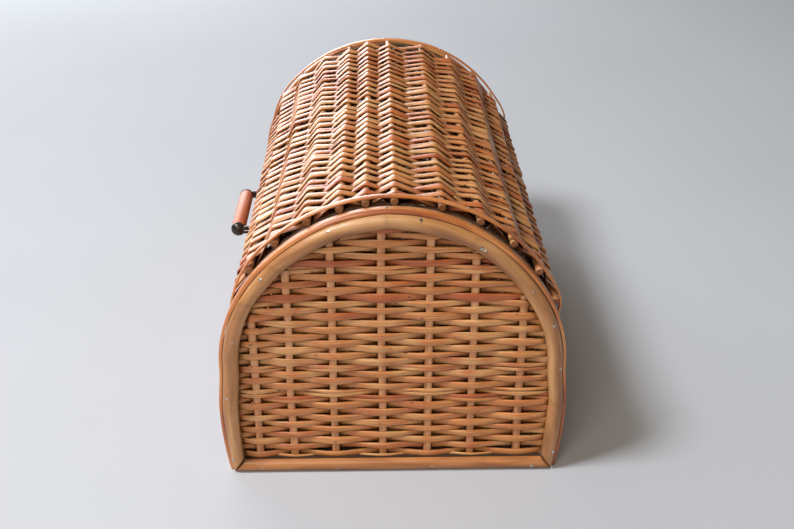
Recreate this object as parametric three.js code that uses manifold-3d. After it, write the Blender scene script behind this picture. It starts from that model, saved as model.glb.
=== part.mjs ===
import * as THREE from 'three';
import { mergeVertices } from 'three/addons/utils/BufferGeometryUtils.js';
import Module from 'manifold-3d';

// A wicker bread box: an arched woven basket lying on its side, with a woven lid that is the
// upper half of the arch and turns back on two nail pins, one in each end frame.
// Millimetres. X runs along the box, the handle is at the front (-Y), Z is up, and the origin
// is on the table under the middle of the box. The ends are called right (+X) and left (-X).

const library = await Module();
library.setup();

// Outline of an end frame, seen along the box
const boxLength = 436;
const floorWidth = 250;
const bulgeWidth = 260;
const bulgeHeight = 56;
const springWidth = 255;
const springHeight = 94.5;
const crownHeight = 218;
const shoulderFlat = 2.6;

// Gaps
const seatGap = 0.3;
const lidSideGap = 1.0;
const headGap = 0.1;

// End frame: a hoop with an inner lip, a flat cane round it and half-round cane on its face
const hoopWidth = 14.5;
const hoopDepth = 10.1;
const lipDepth = 6.8;
const lipThickness = 3.5;
const rimBandWidth = 9;
const rimBandThickness = 2.3;
const faceCaneWidth = 10.4;
const faceCaneRise = 4.7;
const sillHeight = 10;
const faceSillHeight = 9.8;
const frameSteps = 40;

// Rods and weave
const rodDiameter = 6;
const weaverThickness = 2.2;
const stakeDiameter = 5.4;
const endWeaverThickness = 1.8;
const crestWidth = 6;
const valleyHalf = 1.7;
const wallRods = 3;
const baseRods = 7;
const stakePlaces = [-102, -76, -44, -8, 26.5, 59, 94.5];
const wallInset = 11;
const baseLift = 2.8;
const bottomRailDiameter = 10;
const topRailDiameter = 9;
const backRailDrop = 14;
const roundSides = 10;

// Lid: an arch of rods between two edge rails, held by a hoop and a flat cane at each end
const lidRadius = 127;
const lidCentrePlace = 0.8;
const lidCentreHeight = 90.5;
const lidFrontTuck = 3.3;
const lidWaist = 3.5;
const lidWaistSpread = 35;
const lidRodAngles = [157.3, 144.4, 131.6, 118.7, 107.3, 98.8, 89.6, 74.5, 61.1, 47.5, 34, 21.4];
const lidHoopWidth = 6;
const lidHoopDepth = 12;
const lidBandWidth = 5;
const lidBandThickness = 1.5;
const frontRailDiameter = 8.6;
const frontRailPlace = -115;
const frontRailHeight = 110;
const rearRailDiameter = 10;
const lidSteps = 36;
const bowSteps = 4;
const openingRows = 12;
const openingLength = 25;
const openingWidth = 2.4;

// Hinge: a nail through each end frame into the end of the lid's rear rail
const hingePlace = 112.5;
const hingeHeight = 113;
const pinDiameter = 2.2;
const pinHeadDiameter = 3.8;
const pinHeadThickness = 0.9;
const pinReach = 12;

// Handle: a wooden grip between two dark feet that stand off the lid
const gripLength = 70;
const gripDiameter = 12;
const gripStandOff = 15.8;
const gripRise = 11;
const footLength = 5.5;
const footArmHeight = 8;
const footGap = 0.3;
const screwDiameter = 3.2;
const screwHeadDiameter = 6.4;
const screwHeadThickness = 1.6;
const screwGrip = 6;

// Sizes that follow from the ones above
const frameFace = boxLength / 2 - faceCaneRise - seatGap;
const frameBack = frameFace - hoopWidth;
const lidHalf = frameBack - lidSideGap;
const archRise = crownHeight - springHeight;
const rodRadius = rodDiameter / 2;
const tunnelRadius = rodRadius + seatGap;
const weaveHalf = rodRadius + weaverThickness;
const stakeRadius = stakeDiameter / 2;
const endWeaveHalf = stakeRadius + endWeaverThickness;
const hoopOuter = rimBandThickness + seatGap;
const faceCaneInner = hoopOuter + faceCaneWidth;
const hoopInner = hoopOuter + hoopDepth;
const lipInner = hoopInner + lipDepth;
const panelInset = hoopInner + seatGap;
const footSpare = lipInner;
const backRailHeight = hingeHeight - backRailDrop;
const gripPlace = frontRailPlace - gripStandOff;
const gripHeight = frontRailHeight + gripRise;

const finishes = {
  hoop: { color: 0xb98a52, roughness: 0.75 },
  cane: { color: 0xc9a36b, roughness: 0.55 },
  band: { color: 0xb98050, roughness: 0.6 },
  weave: { color: 0xc59a5c, roughness: 0.7 },
  rod: { color: 0xc08a4e, roughness: 0.6 },
  grip: { color: 0xc8703a, roughness: 0.4 },
  foot: { color: 0x1d1613, roughness: 0.25 },
  steel: { color: 0x9a9a98, roughness: 0.35, metalness: 0.9 },
};

// Half of the frame's width at a height up to the spring line of the arch.
function sideHalfWidth(height) {
  const bulge = bulgeWidth / 2;
  if (height < bulgeHeight) {
    const below = 1 - height / bulgeHeight;
    return bulge - (bulge - floorWidth / 2) * below * below;
  }
  const above = Math.min((height - bulgeHeight) / (springHeight - bulgeHeight), 1);
  return bulge - (bulge - springWidth / 2) * above * above * (3 - 2 * above);
}

// The frame's outline, from below the front foot over the crown to below the back foot.
class FrameCurve extends THREE.Curve {
  getPoint(t, target = new THREE.Vector3()) {
    const sideShare = 0.165;
    const fromEnd = Math.min(t, 1 - t);
    const side = t < 0.5 ? -1 : 1;
    if (fromEnd < sideShare) {
      const height = -footSpare + (springHeight + footSpare) * (fromEnd / sideShare);
      return target.set(0, side * sideHalfWidth(height), height);
    }
    const angle = (Math.PI / 2) * ((fromEnd - sideShare) / (0.5 - sideShare));
    const drawnIn = 1 - (shoulderFlat / (springWidth / 2)) * Math.sin(2 * angle) ** 2;
    const width = (springWidth / 2) * Math.cos(angle) * drawnIn;
    return target.set(0, side * width, springHeight + archRise * Math.sin(angle) * drawnIn);
  }
}

// A stretch of another curve, measured along it.
class StretchCurve extends THREE.Curve {
  constructor(whole, start, end) {
    super();
    this.whole = whole;
    this.start = start;
    this.end = end;
  }

  getPoint(t, target = new THREE.Vector3()) {
    return this.whole.getPointAt(this.start + (this.end - this.start) * t, target);
  }
}

// Points beside a curve that lies across the box. A positive distance is on its outer side.
function pointsBeside(curve, steps, distance) {
  const points = curve.getSpacedPoints(steps);
  return points.map((point, index) => {
    const tangent = curve.getTangentAt(index / steps);
    return new THREE.Vector2(point.y - tangent.z * distance, point.z + tangent.y * distance);
  });
}

// The height or the place where a row of points crosses a given place or height.
function crossing(points, key, value, pick) {
  const other = key === 'x' ? 'y' : 'x';
  const found = [];
  for (let index = 1; index < points.length; index += 1) {
    const a = points[index - 1];
    const b = points[index];
    if ((a[key] - value) * (b[key] - value) <= 0 && a[key] !== b[key]) {
      const share = (value - a[key]) / (b[key] - a[key]);
      found.push(a[other] + (b[other] - a[other]) * share);
    }
  }
  return pick(...found);
}

const frameCurve = new FrameCurve();

// Keeps only positions and joins equal corners, so that a mesh is one closed body.
function closed(geometry) {
  const plain = geometry.clone();
  plain.deleteAttribute('normal');
  plain.deleteAttribute('uv');
  return mergeVertices(plain, 1e-5);
}

function solidOf(geometry) {
  const plain = closed(geometry);
  const vertProperties = new Float32Array(plain.attributes.position.array);
  const triVerts = new Uint32Array(plain.index.array);
  return new library.Manifold(new library.Mesh({ numProp: 3, vertProperties, triVerts }));
}

function geometryOf(solid) {
  const mesh = solid.getMesh();
  const geometry = new THREE.BufferGeometry();
  const positions = new Float32Array(mesh.vertProperties);
  geometry.setAttribute('position', new THREE.BufferAttribute(positions, 3));
  geometry.setIndex(new THREE.BufferAttribute(new Uint32Array(mesh.triVerts), 1));
  return geometry;
}

function cut(geometry, ...tools) {
  return geometryOf(tools.reduce((solid, tool) => solid.subtract(solidOf(tool)), solidOf(geometry)));
}

function common(geometry, other) {
  return geometryOf(solidOf(geometry).intersect(solidOf(other)));
}

function joined(geometry, ...others) {
  return geometryOf(others.reduce((solid, other) => solid.add(solidOf(other)), solidOf(geometry)));
}

// The same geometry at the other end of the box.
function mirrored(geometry) {
  const plain = closed(geometry);
  plain.scale(-1, 1, 1);
  const index = Array.from(plain.index.array);
  for (let corner = 0; corner < index.length; corner += 3) {
    [index[corner], index[corner + 1]] = [index[corner + 1], index[corner]];
  }
  plain.setIndex(index);
  return plain;
}

// A plate across the box: an outline of (Y, Z) points, with holes, from one X to another.
function plateAcross(outline, start, end, holes = [], steps = 1) {
  const shape = new THREE.Shape(outline);
  holes.forEach((hole) => shape.holes.push(new THREE.Path(hole)));
  const geometry = new THREE.ExtrudeGeometry(shape, { depth: end - start, steps, bevelEnabled: false });
  const turn = new THREE.Matrix4().makeBasis(
    new THREE.Vector3(0, 1, 0),
    new THREE.Vector3(0, 0, 1),
    new THREE.Vector3(1, 0, 0),
  );
  return geometry.applyMatrix4(turn).translate(start, 0, 0);
}

function circlePoints(place, height, radius, sides = roundSides) {
  return Array.from({ length: sides }, (unused, index) => {
    const angle = (2 * Math.PI * index) / sides;
    return new THREE.Vector2(place + radius * Math.cos(angle), height + radius * Math.sin(angle));
  });
}

// A section of (outward, X) points carried along a curve that lies across the box.
function sweep(section, curve, steps) {
  const shape = new THREE.Shape(section.map(([outward, along]) => new THREE.Vector2(-along, outward)));
  return new THREE.ExtrudeGeometry(shape, { steps, extrudePath: curve, bevelEnabled: false });
}

function rectangle(outwardLow, outwardHigh, start, end) {
  return [[outwardLow, start], [outwardHigh, start], [outwardHigh, end], [outwardLow, end]];
}

// Half-round cane: a flat back and a crown with a small flat on top.
function halfRound(width, rise, facets = 5) {
  const flat = Math.sin((Math.PI * (facets - 1)) / (2 * facets));
  return Array.from({ length: facets + 1 }, (unused, index) => {
    const angle = (Math.PI * index) / facets;
    return [-(width / 2) * Math.cos(angle), (rise * Math.sin(angle)) / flat];
  });
}

function boxBetween(low, high) {
  const size = new THREE.Vector3().subVectors(high, low);
  const middle = new THREE.Vector3().addVectors(high, low).multiplyScalar(0.5);
  return new THREE.BoxGeometry(size.x, size.y, size.z).translate(middle.x, middle.y, middle.z);
}

function belowHeight(height) {
  const reach = boxLength;
  return boxBetween(new THREE.Vector3(-reach, -reach, -reach), new THREE.Vector3(reach, reach, height));
}

// A rod along X, centred on the place and height given.
function rodAlong(radius, start, end, place, height, sides = roundSides) {
  const geometry = new THREE.CylinderGeometry(radius, radius, end - start, sides, 1);
  geometry.rotateX(Math.PI / 2).rotateY(Math.PI / 2);
  return geometry.translate((start + end) / 2, place, height);
}

function rodUpright(radius, low, high, along, place, sides = roundSides) {
  const geometry = new THREE.CylinderGeometry(radius, radius, high - low, sides, 1);
  return geometry.rotateX(Math.PI / 2).translate(along, place, (low + high) / 2);
}

// A round piece turned on a line from a point towards a direction, from (radius, distance) pairs.
function turned(profile, start, direction, sides) {
  const points = profile.map(([radius, distance]) => new THREE.Vector2(radius, distance));
  const geometry = new THREE.LatheGeometry(points, sides);
  const turn = new THREE.Quaternion().setFromUnitVectors(new THREE.Vector3(0, 1, 0), direction);
  return geometry.applyQuaternion(turn).translate(start.x, start.y, start.z);
}

function addMesh(group, name, geometry, finish) {
  const plain = closed(geometry);
  plain.computeVertexNormals();
  const material = new THREE.MeshStandardMaterial({ metalness: 0, ...finishes[finish] });
  const mesh = new THREE.Mesh(plain, material);
  mesh.name = name;
  group.add(mesh);
  return mesh;
}

// The thickness of a weave along a line it follows: full where it crosses a rod, and thin at
// the middle of each span between rods, where the strands change sides. Returns (place, half).
function reliefAlong(stations, crestHalf) {
  const line = [];
  stations.forEach((station, index) => {
    if (index > 0) {
      const last = stations[index - 1];
      line.push([(last + station) / 2, valleyHalf]);
      line.push([station - crestWidth / 2, crestHalf]);
    }
    if (index < stations.length - 1) {
      line.push([station + crestWidth / 2, crestHalf]);
    }
  });
  return line;
}

function evenly(start, end, count) {
  const step = (end - start) / (count + 1);
  return Array.from({ length: count }, (unused, index) => start + step * (index + 1));
}

const box = new THREE.Group();
const basket = new THREE.Group();
box.add(basket);

// End frames. Distances along X are measured outwards from the hoop's outer face.
const inward = new THREE.Vector3(-1, 0, 0);
const hoopInnerPoints = pointsBeside(frameCurve, frameSteps, -hoopInner);
const panelPoints = pointsBeside(frameCurve, frameSteps, -panelInset);
const stakeDepth = -endWeaveHalf;
const faceCaneCrown = seatGap + faceCaneRise;

// Where the face cane and the sill cane meet, they are cut on a line through the corner.
const mitreOuter = new THREE.Vector2(
  crossing(pointsBeside(frameCurve, frameSteps, -hoopOuter), 'y', 0, Math.max),
  0,
);
const mitreInner = new THREE.Vector2(
  crossing(pointsBeside(frameCurve, frameSteps, -faceCaneInner), 'y', faceSillHeight, Math.max),
  faceSillHeight,
);
const mitreLine = new THREE.Vector2().subVectors(mitreInner, mitreOuter).normalize();
const mitreAcross = new THREE.Vector2(-mitreLine.y, mitreLine.x).multiplyScalar(Math.sign(mitreLine.x));
const mitreReach = 2 * footSpare + faceCaneWidth;

function mitreTool(side, keepsArch) {
  const shift = mitreAcross.clone().multiplyScalar(keepsArch ? seatGap / 2 : -seatGap / 2);
  const outer = mitreOuter.clone().addScaledVector(mitreLine, -mitreReach).add(shift);
  const inner = mitreInner.clone().addScaledVector(mitreLine, mitreReach).add(shift);
  const far = keepsArch ? -2 * mitreReach : 3 * mitreReach;
  const outline = [outer, inner, new THREE.Vector2(inner.x, far), new THREE.Vector2(outer.x, far)];
  const placed = outline.map((point) => new THREE.Vector2(point.x * side, point.y));
  return plateAcross(placed, -2 * faceCaneRise, 2 * faceCaneRise);
}

function endPieces() {
  const pinAxis = new THREE.Vector3(0, hingePlace, hingeHeight);
  const pinRadius = pinDiameter / 2;
  const pinHoleRadius = pinRadius + seatGap;
  const pinHole = rodAlong(pinHoleRadius, -2 * hoopWidth, hoopWidth, hingePlace, hingeHeight);
  const headRoom = rodAlong(
    pinHeadDiameter / 2 + seatGap, -seatGap, 2 * faceCaneRise, hingePlace, hingeHeight,
  );
  // The hoop stands on the table on two feet; its inner lip starts above the sill.
  const hoopRing = sweep(rectangle(-hoopInner, -hoopOuter, -hoopWidth, 0), frameCurve, frameSteps);
  const lipRing = sweep(
    rectangle(-lipInner, -hoopInner + seatGap, -hoopWidth, -hoopWidth + lipThickness),
    frameCurve,
    frameSteps,
  );
  const lip = cut(lipRing, belowHeight(sillHeight + seatGap));
  const hoop = cut(joined(hoopRing, lip), belowHeight(0), pinHole);

  const bandRing = sweep(rectangle(-rimBandThickness, 0, -rimBandWidth, 0), frameCurve, frameSteps);
  const band = cut(bandRing, belowHeight(seatGap));

  const sillLow = crossing(panelPoints, 'y', 0, Math.max);
  const sillHigh = crossing(panelPoints, 'y', sillHeight, Math.max);
  const sillOutline = [[-sillLow, 0], [sillLow, 0], [sillHigh, sillHeight], [-sillHigh, sillHeight]];
  const sillPoints = sillOutline.map(([place, height]) => new THREE.Vector2(place, height));
  const sill = plateAcross(sillPoints, -hoopWidth, 0);

  const caneSection = halfRound(faceCaneWidth, faceCaneRise);
  const caneMiddle = hoopOuter + faceCaneWidth / 2;
  const archSection = caneSection.map(([across, rise]) => [across - caneMiddle, seatGap + rise]);
  const archCane = cut(
    sweep(archSection, frameCurve, frameSteps),
    mitreTool(1, true),
    mitreTool(-1, true),
    headRoom,
  );
  const sillSection = halfRound(faceSillHeight - seatGap, faceCaneRise);
  const sillMiddle = (faceSillHeight + seatGap) / 2;
  const sillShape = new THREE.Shape(
    sillSection.map(([across, rise]) => new THREE.Vector2(seatGap + rise, sillMiddle + across)),
  );
  const sillCaneBlank = new THREE.ExtrudeGeometry(sillShape, { depth: floorWidth, bevelEnabled: false });
  sillCaneBlank.rotateX(Math.PI / 2).translate(0, floorWidth / 2, 0);
  const sillCane = cut(sillCaneBlank, mitreTool(1, false), mitreTool(-1, false));

  // Woven panel: a ridge over each stake, a valley between, and a tunnel for each stake.
  const stakes = stakePlaces.map((place) => {
    const reaches = [place - stakeRadius, place, place + stakeRadius];
    const tops = reaches.map((edge) => crossing(hoopInnerPoints, 'x', edge, Math.max));
    return { place, low: sillHeight + seatGap, high: Math.min(...tops) - seatGap };
  });
  const tunnels = stakes.map(
    ({ place, low }) => rodUpright(stakeRadius + seatGap, low - sillHeight, crownHeight, stakeDepth, place),
  );
  const panelEdge = bulgeWidth / 2;
  const reliefPoints = reliefAlong([-panelEdge, ...stakePlaces, panelEdge], endWeaveHalf);
  const reliefOutline = [
    ...reliefPoints.map(([place, half]) => new THREE.Vector2(stakeDepth + half, place)),
    ...reliefPoints.reverse().map(([place, half]) => new THREE.Vector2(stakeDepth - half, place)),
  ];
  const ridges = new THREE.ExtrudeGeometry(new THREE.Shape(reliefOutline), {
    depth: crownHeight,
    bevelEnabled: false,
  });
  const panel = cut(
    common(plateAcross(panelPoints, -3 * endWeaveHalf, endWeaveHalf), ridges),
    belowHeight(sillHeight + seatGap),
    pinHole,
    ...tunnels,
  );
  const stakeRods = stakes.map(({ place, low, high }, index) => [
    `end_stake_${index + 1}`,
    rodUpright(stakeRadius, low, high, stakeDepth, place),
    'rod',
  ]);

  const pinEnd = hoopWidth + lidSideGap + pinReach;
  const pinProfile = [
    [0, -pinHeadThickness - headGap],
    [pinHeadDiameter / 2, -pinHeadThickness - headGap],
    [pinHeadDiameter / 2, -headGap],
    [pinRadius, -headGap],
    [pinRadius, pinEnd],
    [0, pinEnd],
  ];
  return [
    ['end_hoop', hoop, 'hoop'],
    ['end_sill', sill, 'hoop'],
    ['end_weave', panel, 'weave'],
    ...stakeRods,
    ['face_arch', archCane, 'cane'],
    ['face_sill', sillCane, 'cane'],
    ['rim_band', band, 'band'],
    ['hinge_pin', turned(pinProfile, pinAxis, inward, roundSides), 'steel'],
  ];
}

const pieces = endPieces();
[['right', 1], ['left', -1]].forEach(([end, side]) => {
  const frame = new THREE.Group();
  frame.position.x = side * frameFace;
  pieces.forEach(([name, geometry, finish]) => {
    addMesh(frame, `${name}_${end}`, side > 0 ? geometry : mirrored(geometry), finish);
  });
  basket.add(frame);
});

// Low front and back walls, and the base, all fixed between the end frames.
const wallEnd = frameBack - seatGap;
const bottomRailRadius = bottomRailDiameter / 2;
const topRailRadius = topRailDiameter / 2;
const baseHeight = baseLift + weaveHalf;
const wallMiddle = pointsBeside(frameCurve, 2 * frameSteps, -wallInset);
const wallPlace = (height) => crossing(wallMiddle, 'y', height, Math.max);
const bottomRailPlace = wallPlace(baseHeight);

// The front rail of the lid rests on the front wall's top rail.
const frontRailRadius = frontRailDiameter / 2;
const restDistance = frontRailRadius + topRailRadius + seatGap;
const restSideways = wallPlace(frontRailHeight - restDistance) + frontRailPlace;
const frontTopHeight = frontRailHeight - Math.sqrt(restDistance ** 2 - restSideways ** 2);

[['front', -1, frontTopHeight], ['back', 1, backRailHeight]].forEach(([name, side, topHeight]) => {
  const low = baseHeight + bottomRailRadius + seatGap;
  const high = topHeight - topRailRadius - seatGap;
  // A ridge runs over each of the rods that lie inside the weave.
  const levels = [baseHeight, ...evenly(baseHeight, topHeight, wallRods), topHeight];
  const relief = reliefAlong(levels, weaveHalf).map(([height, half]) => [Math.max(height, low), half]);
  relief[relief.length - 1][0] = high;
  const outer = relief.map(([height, half]) => new THREE.Vector2(side * (wallPlace(height) + half), height));
  const inner = relief.map(([height, half]) => new THREE.Vector2(side * (wallPlace(height) - half), height));
  const weave = plateAcross([...outer, ...inner.reverse()], -wallEnd, wallEnd);
  addMesh(basket, `${name}_wall_weave`, weave, 'weave');
  const topRail = rodAlong(topRailRadius, -wallEnd, wallEnd, side * wallPlace(topHeight), topHeight, 12);
  addMesh(basket, `${name}_top_rail`, topRail, 'rod');
  const railPlace = side * bottomRailPlace;
  const bottomRail = rodAlong(bottomRailRadius, -wallEnd, wallEnd, railPlace, baseHeight, 12);
  addMesh(basket, `${name}_bottom_rail`, bottomRail, 'rod');
});

const baseHalf = bottomRailPlace - bottomRailRadius - seatGap;
const baseRodPlaces = evenly(-bottomRailPlace, bottomRailPlace, baseRods);
const basePlaces = [-bottomRailPlace, ...baseRodPlaces, bottomRailPlace];
const baseRelief = reliefAlong(basePlaces, weaveHalf).map(
  ([place, half]) => [Math.min(Math.max(place, -baseHalf), baseHalf), half],
);
const baseOutline = [
  ...baseRelief.map(([place, half]) => new THREE.Vector2(place, baseHeight - half)),
  ...baseRelief.reverse().map(([place, half]) => new THREE.Vector2(place, baseHeight + half)),
];
addMesh(basket, 'base_weave', plateAcross(baseOutline, -wallEnd, wallEnd), 'weave');

// The lid turns on the hinge line. Its own group stands on that line.
const lid = new THREE.Group();
lid.position.set(0, hingePlace, hingeHeight);
box.add(lid);
const lidPieces = new THREE.Group();
lidPieces.position.set(0, -hingePlace, -hingeHeight);
lid.add(lidPieces);

const lidRods = lidRodAngles.map((degrees, index) => {
  const angle = THREE.MathUtils.degToRad(degrees);
  const radius = index === 0 ? lidRadius - lidFrontTuck : lidRadius;
  return {
    place: lidCentrePlace + radius * Math.cos(angle),
    height: lidCentreHeight + radius * Math.sin(angle),
  };
});

// Between its end hoops the lid is drawn in towards its axis, most at the middle of its length
// and not at all along the two straight edge rails.
const lidHoopStart = lidHalf - lidHoopWidth;
const lidAngleOf = (place, height) => Math.atan2(height - lidCentreHeight, place - lidCentrePlace);
const frontRailAngle = lidAngleOf(frontRailPlace, frontRailHeight);
const rearRailAngle = lidAngleOf(hingePlace, hingeHeight);

function drawnIn(along, place, height) {
  const angle = lidAngleOf(place, height);
  const fromRail = Math.min(angle - rearRailAngle, frontRailAngle - angle);
  const share = THREE.MathUtils.smoothstep(fromRail, 0, THREE.MathUtils.degToRad(lidWaistSpread));
  const inside = Math.min(Math.abs(along) / lidHoopStart, 1);
  const amount = lidWaist * share * (1 - inside ** 2);
  return new THREE.Vector2(-Math.cos(angle) * amount, -Math.sin(angle) * amount);
}

// Moves each point of a lid piece by what the rod it follows, or the point itself, is drawn in.
function bowed(geometry, rods) {
  const positions = geometry.attributes.position;
  for (let index = 0; index < positions.count; index += 1) {
    const [x, y, z] = [positions.getX(index), positions.getY(index), positions.getZ(index)];
    const reach = tunnelRadius + seatGap / 2;
    const rod = rods.find(({ place, height }) => Math.hypot(y - place, z - height) < reach);
    const shift = rod ? drawnIn(x, rod.place, rod.height) : drawnIn(x, y, z);
    positions.setXYZ(index, x, y + shift.x, z + shift.y);
  }
  return geometry;
}

// A straight lid rod with rings between its ends: one under each hoop's inner side.
function ringedRod({ place, height }) {
  const steps = bowSteps + 2;
  const geometry = new THREE.CylinderGeometry(rodRadius, rodRadius, 2, roundSides, steps);
  geometry.rotateX(Math.PI / 2).rotateY(Math.PI / 2);
  const positions = geometry.attributes.position;
  const inner = bowSteps / steps;
  for (let index = 0; index < positions.count; index += 1) {
    const share = positions.getX(index);
    const atEnd = Math.abs(share) > inner + 0.01;
    const along = atEnd ? Math.sign(share) * lidHalf : (share / inner) * lidHoopStart;
    positions.setX(index, along);
  }
  return geometry.translate(0, place, height);
}

const lidStations = [
  new THREE.Vector3(0, frontRailPlace, frontRailHeight),
  ...lidRods.map(({ place, height }) => new THREE.Vector3(0, place, height)),
  new THREE.Vector3(0, hingePlace, hingeHeight),
];
const lidCurve = new THREE.CatmullRomCurve3(lidStations, false, 'centripetal');
lidCurve.arcLengthDivisions = 650;
const lidLength = lidCurve.getLength();
const rearRailRadius = rearRailDiameter / 2;
const lidStart = (frontRailRadius + seatGap) / lidLength;
const lidEnd = 1 - (rearRailRadius + seatGap) / lidLength;
const lidStretch = new StretchCurve(lidCurve, lidStart, lidEnd);

// The distance along the lid's curve of a station that it passes through.
function reachAt(share) {
  const lengths = lidCurve.getLengths();
  return lengths[Math.round(share * (lengths.length - 1))];
}

lidRods.forEach((rod, index) => {
  addMesh(lidPieces, `lid_rod_${index + 1}`, bowed(ringedRod(rod), [rod]), 'rod');
});
const frontRail = rodAlong(frontRailRadius, -lidHalf, lidHalf, 0, 0, 12);
addMesh(lidPieces, 'lid_front_rail', frontRail, 'rod').position.set(0, frontRailPlace, frontRailHeight);

const pinBoreRadius = pinDiameter / 2 + seatGap;
const boreDepth = pinReach + seatGap;
const rearRail = cut(
  rodAlong(rearRailRadius, -lidHalf, lidHalf, 0, 0, 12),
  rodAlong(pinBoreRadius, lidHalf - boreDepth, lidHalf + boreDepth, 0, 0),
  rodAlong(pinBoreRadius, -lidHalf - boreDepth, -lidHalf + boreDepth, 0, 0),
);
addMesh(lidPieces, 'lid_rear_rail', rearRail, 'rod').position.set(0, hingePlace, hingeHeight);

// A stick hoop under the rods and a flat cane over them, at each end of the lid.
const lidHoopOuter = -rodRadius - seatGap;
const lidHoop = sweep(
  rectangle(lidHoopOuter - lidHoopDepth, lidHoopOuter, lidHoopStart, lidHalf),
  lidStretch,
  lidSteps,
);
const lidBandInner = rodRadius + seatGap;
const lidBand = sweep(
  rectangle(lidBandInner, lidBandInner + lidBandThickness, lidHalf - lidBandWidth, lidHalf),
  lidStretch,
  lidSteps,
);
const lidEnds = [
  ['lid_hoop', lidHoop, 'hoop'],
  ['lid_band', lidBand, 'band'],
];
lidEnds.forEach(([name, geometry, finish]) => {
  addMesh(lidPieces, `${name}_right`, geometry, finish);
  addMesh(lidPieces, `${name}_left`, mirrored(geometry), finish);
});

// Handle. Each foot is a rounded cap on the grip's end with an arm back to the lid.
const gripRadius = gripDiameter / 2;
const footMiddle = gripLength / 2 + seatGap + footLength / 2;
const lidSpans = lidStations.length - 1;
const lidReaches = lidStations.map((unused, index) => reachAt(index / lidSpans));
const lidRelief = reliefAlong(lidReaches, weaveHalf).map(([reach, half]) => [
  Math.min(Math.max(reach, lidStart * lidLength), lidEnd * lidLength) / lidLength,
  half,
]);
const besideLid = (share, distance) => {
  const point = lidCurve.getPointAt(share);
  const tangent = lidCurve.getTangentAt(share);
  return new THREE.Vector2(point.y - tangent.z * distance, point.z + tangent.y * distance);
};
const weaveOuter = lidRelief.map(([share, half]) => besideLid(share, half));
const weaveInner = lidRelief.map(([share, half]) => besideLid(share, -half));
const armHeights = [gripHeight - footArmHeight / 2, gripHeight + footArmHeight / 2];

// Where the lid's front face lies at a height, at the middle of the box's length.
function faceAt(points, height) {
  const place = crossing(points, 'y', height, Math.min);
  return place + drawnIn(0, place, height).x;
}

// A round screw runs in from inside the lid, through the weave, into each foot.
const screwRadius = screwDiameter / 2;
const screwTop = gripHeight;
const headRadius = screwHeadDiameter / 2;
const headEdges = [screwTop - headRadius, screwTop + headRadius];
const headSeat = Math.max(...headEdges.map((height) => faceAt(weaveInner, height))) + seatGap;
const outerNearest = Math.min(...armHeights.map((height) => faceAt(weaveOuter, height)));
const armEnd = outerNearest - footGap;
const screwTip = armEnd - screwGrip;
const forward = new THREE.Vector3(0, -1, 0);

function screwAt(along, spare) {
  const start = new THREE.Vector3(along, headSeat, screwTop);
  const reach = headSeat - screwTip;
  if (spare > 0) {
    const radius = screwRadius + spare;
    const profile = [[0, -spare], [radius, -spare], [radius, reach + spare], [0, reach + spare]];
    return turned(profile, start, forward, 8);
  }
  const profile = [
    [0, -screwHeadThickness],
    [headRadius * 0.8, -screwHeadThickness],
    [headRadius, 0],
    [screwRadius, 0],
    [screwRadius, reach],
    [0, reach],
  ];
  return turned(profile, start, forward, 8);
}

// The weave of the lid: a ridge over each rod, a valley between, and a tunnel for each rod.
const lidTunnels = lidRods.map(({ place, height }) => circlePoints(place, height, tunnelRadius));
const lidWeaveHalf = lidHoopStart - seatGap;
const lidOutline = [...weaveOuter, ...weaveInner.slice().reverse()];
const lidWeaveBlank = bowed(
  plateAcross(lidOutline, -lidWeaveHalf, lidWeaveHalf, lidTunnels, bowSteps),
  lidRods,
);
const screwHoles = [-1, 1].map((side) => screwAt(side * footMiddle, seatGap));

// Openings in rows along the valleys, for the holes between the strands. The span next to the
// front rail has none, because the handle's screws go through there.
const openingPitch = (2 * lidWeaveHalf) / openingRows;
const openings = lidReaches.slice(2).flatMap((reach, index) => {
  const share = (reach + lidReaches[index + 1]) / (2 * lidLength);
  const middle = besideLid(share, 0);
  const tangent = lidCurve.getTangentAt(share);
  return Array.from({ length: openingRows }, (unused, row) => {
    const place = -lidWeaveHalf + openingPitch * (row + 0.5);
    const shift = drawnIn(place, middle.x, middle.y);
    const opening = new THREE.BoxGeometry(openingLength, openingWidth, 6 * valleyHalf);
    opening.rotateX(Math.atan2(tangent.z, tangent.y));
    return opening.translate(place, middle.x + shift.x, middle.y + shift.y);
  });
});
addMesh(lidPieces, 'lid_weave', cut(lidWeaveBlank, ...screwHoles, ...openings), 'weave');

const gripEdge = 1.2;
const gripProfile = [
  [0, -gripLength / 2],
  [gripRadius - gripEdge, -gripLength / 2],
  [gripRadius, -gripLength / 2 + gripEdge],
  [gripRadius, gripLength / 2 - gripEdge],
  [gripRadius - gripEdge, gripLength / 2],
  [0, gripLength / 2],
];
const along = new THREE.Vector3(1, 0, 0);
const grip = turned(gripProfile, new THREE.Vector3(0, 0, 0), along, 16);
addMesh(lidPieces, 'handle_grip', grip, 'grip').position.set(0, gripPlace, gripHeight);

const capProfile = [
  [0, 0],
  [gripRadius, 0],
  [gripRadius, footLength * 0.55],
  [gripRadius * 0.78, footLength * 0.88],
  [gripRadius * 0.4, footLength],
  [0, footLength],
];
const capStart = new THREE.Vector3(gripLength / 2 + seatGap, gripPlace, gripHeight);
const cap = turned(capProfile, capStart, along, 16);
const arm = boxBetween(
  new THREE.Vector3(capStart.x, gripPlace, armHeights[0]),
  new THREE.Vector3(capStart.x + footLength * 0.8, armEnd, armHeights[1]),
);
const foot = cut(joined(cap, arm), screwHoles[1]);
addMesh(lidPieces, 'handle_foot_right', foot, 'foot');
addMesh(lidPieces, 'handle_foot_left', mirrored(foot), 'foot');
addMesh(lidPieces, 'handle_screw_right', screwAt(footMiddle, 0), 'steel');
addMesh(lidPieces, 'handle_screw_left', screwAt(-footMiddle, 0), 'steel');

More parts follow.
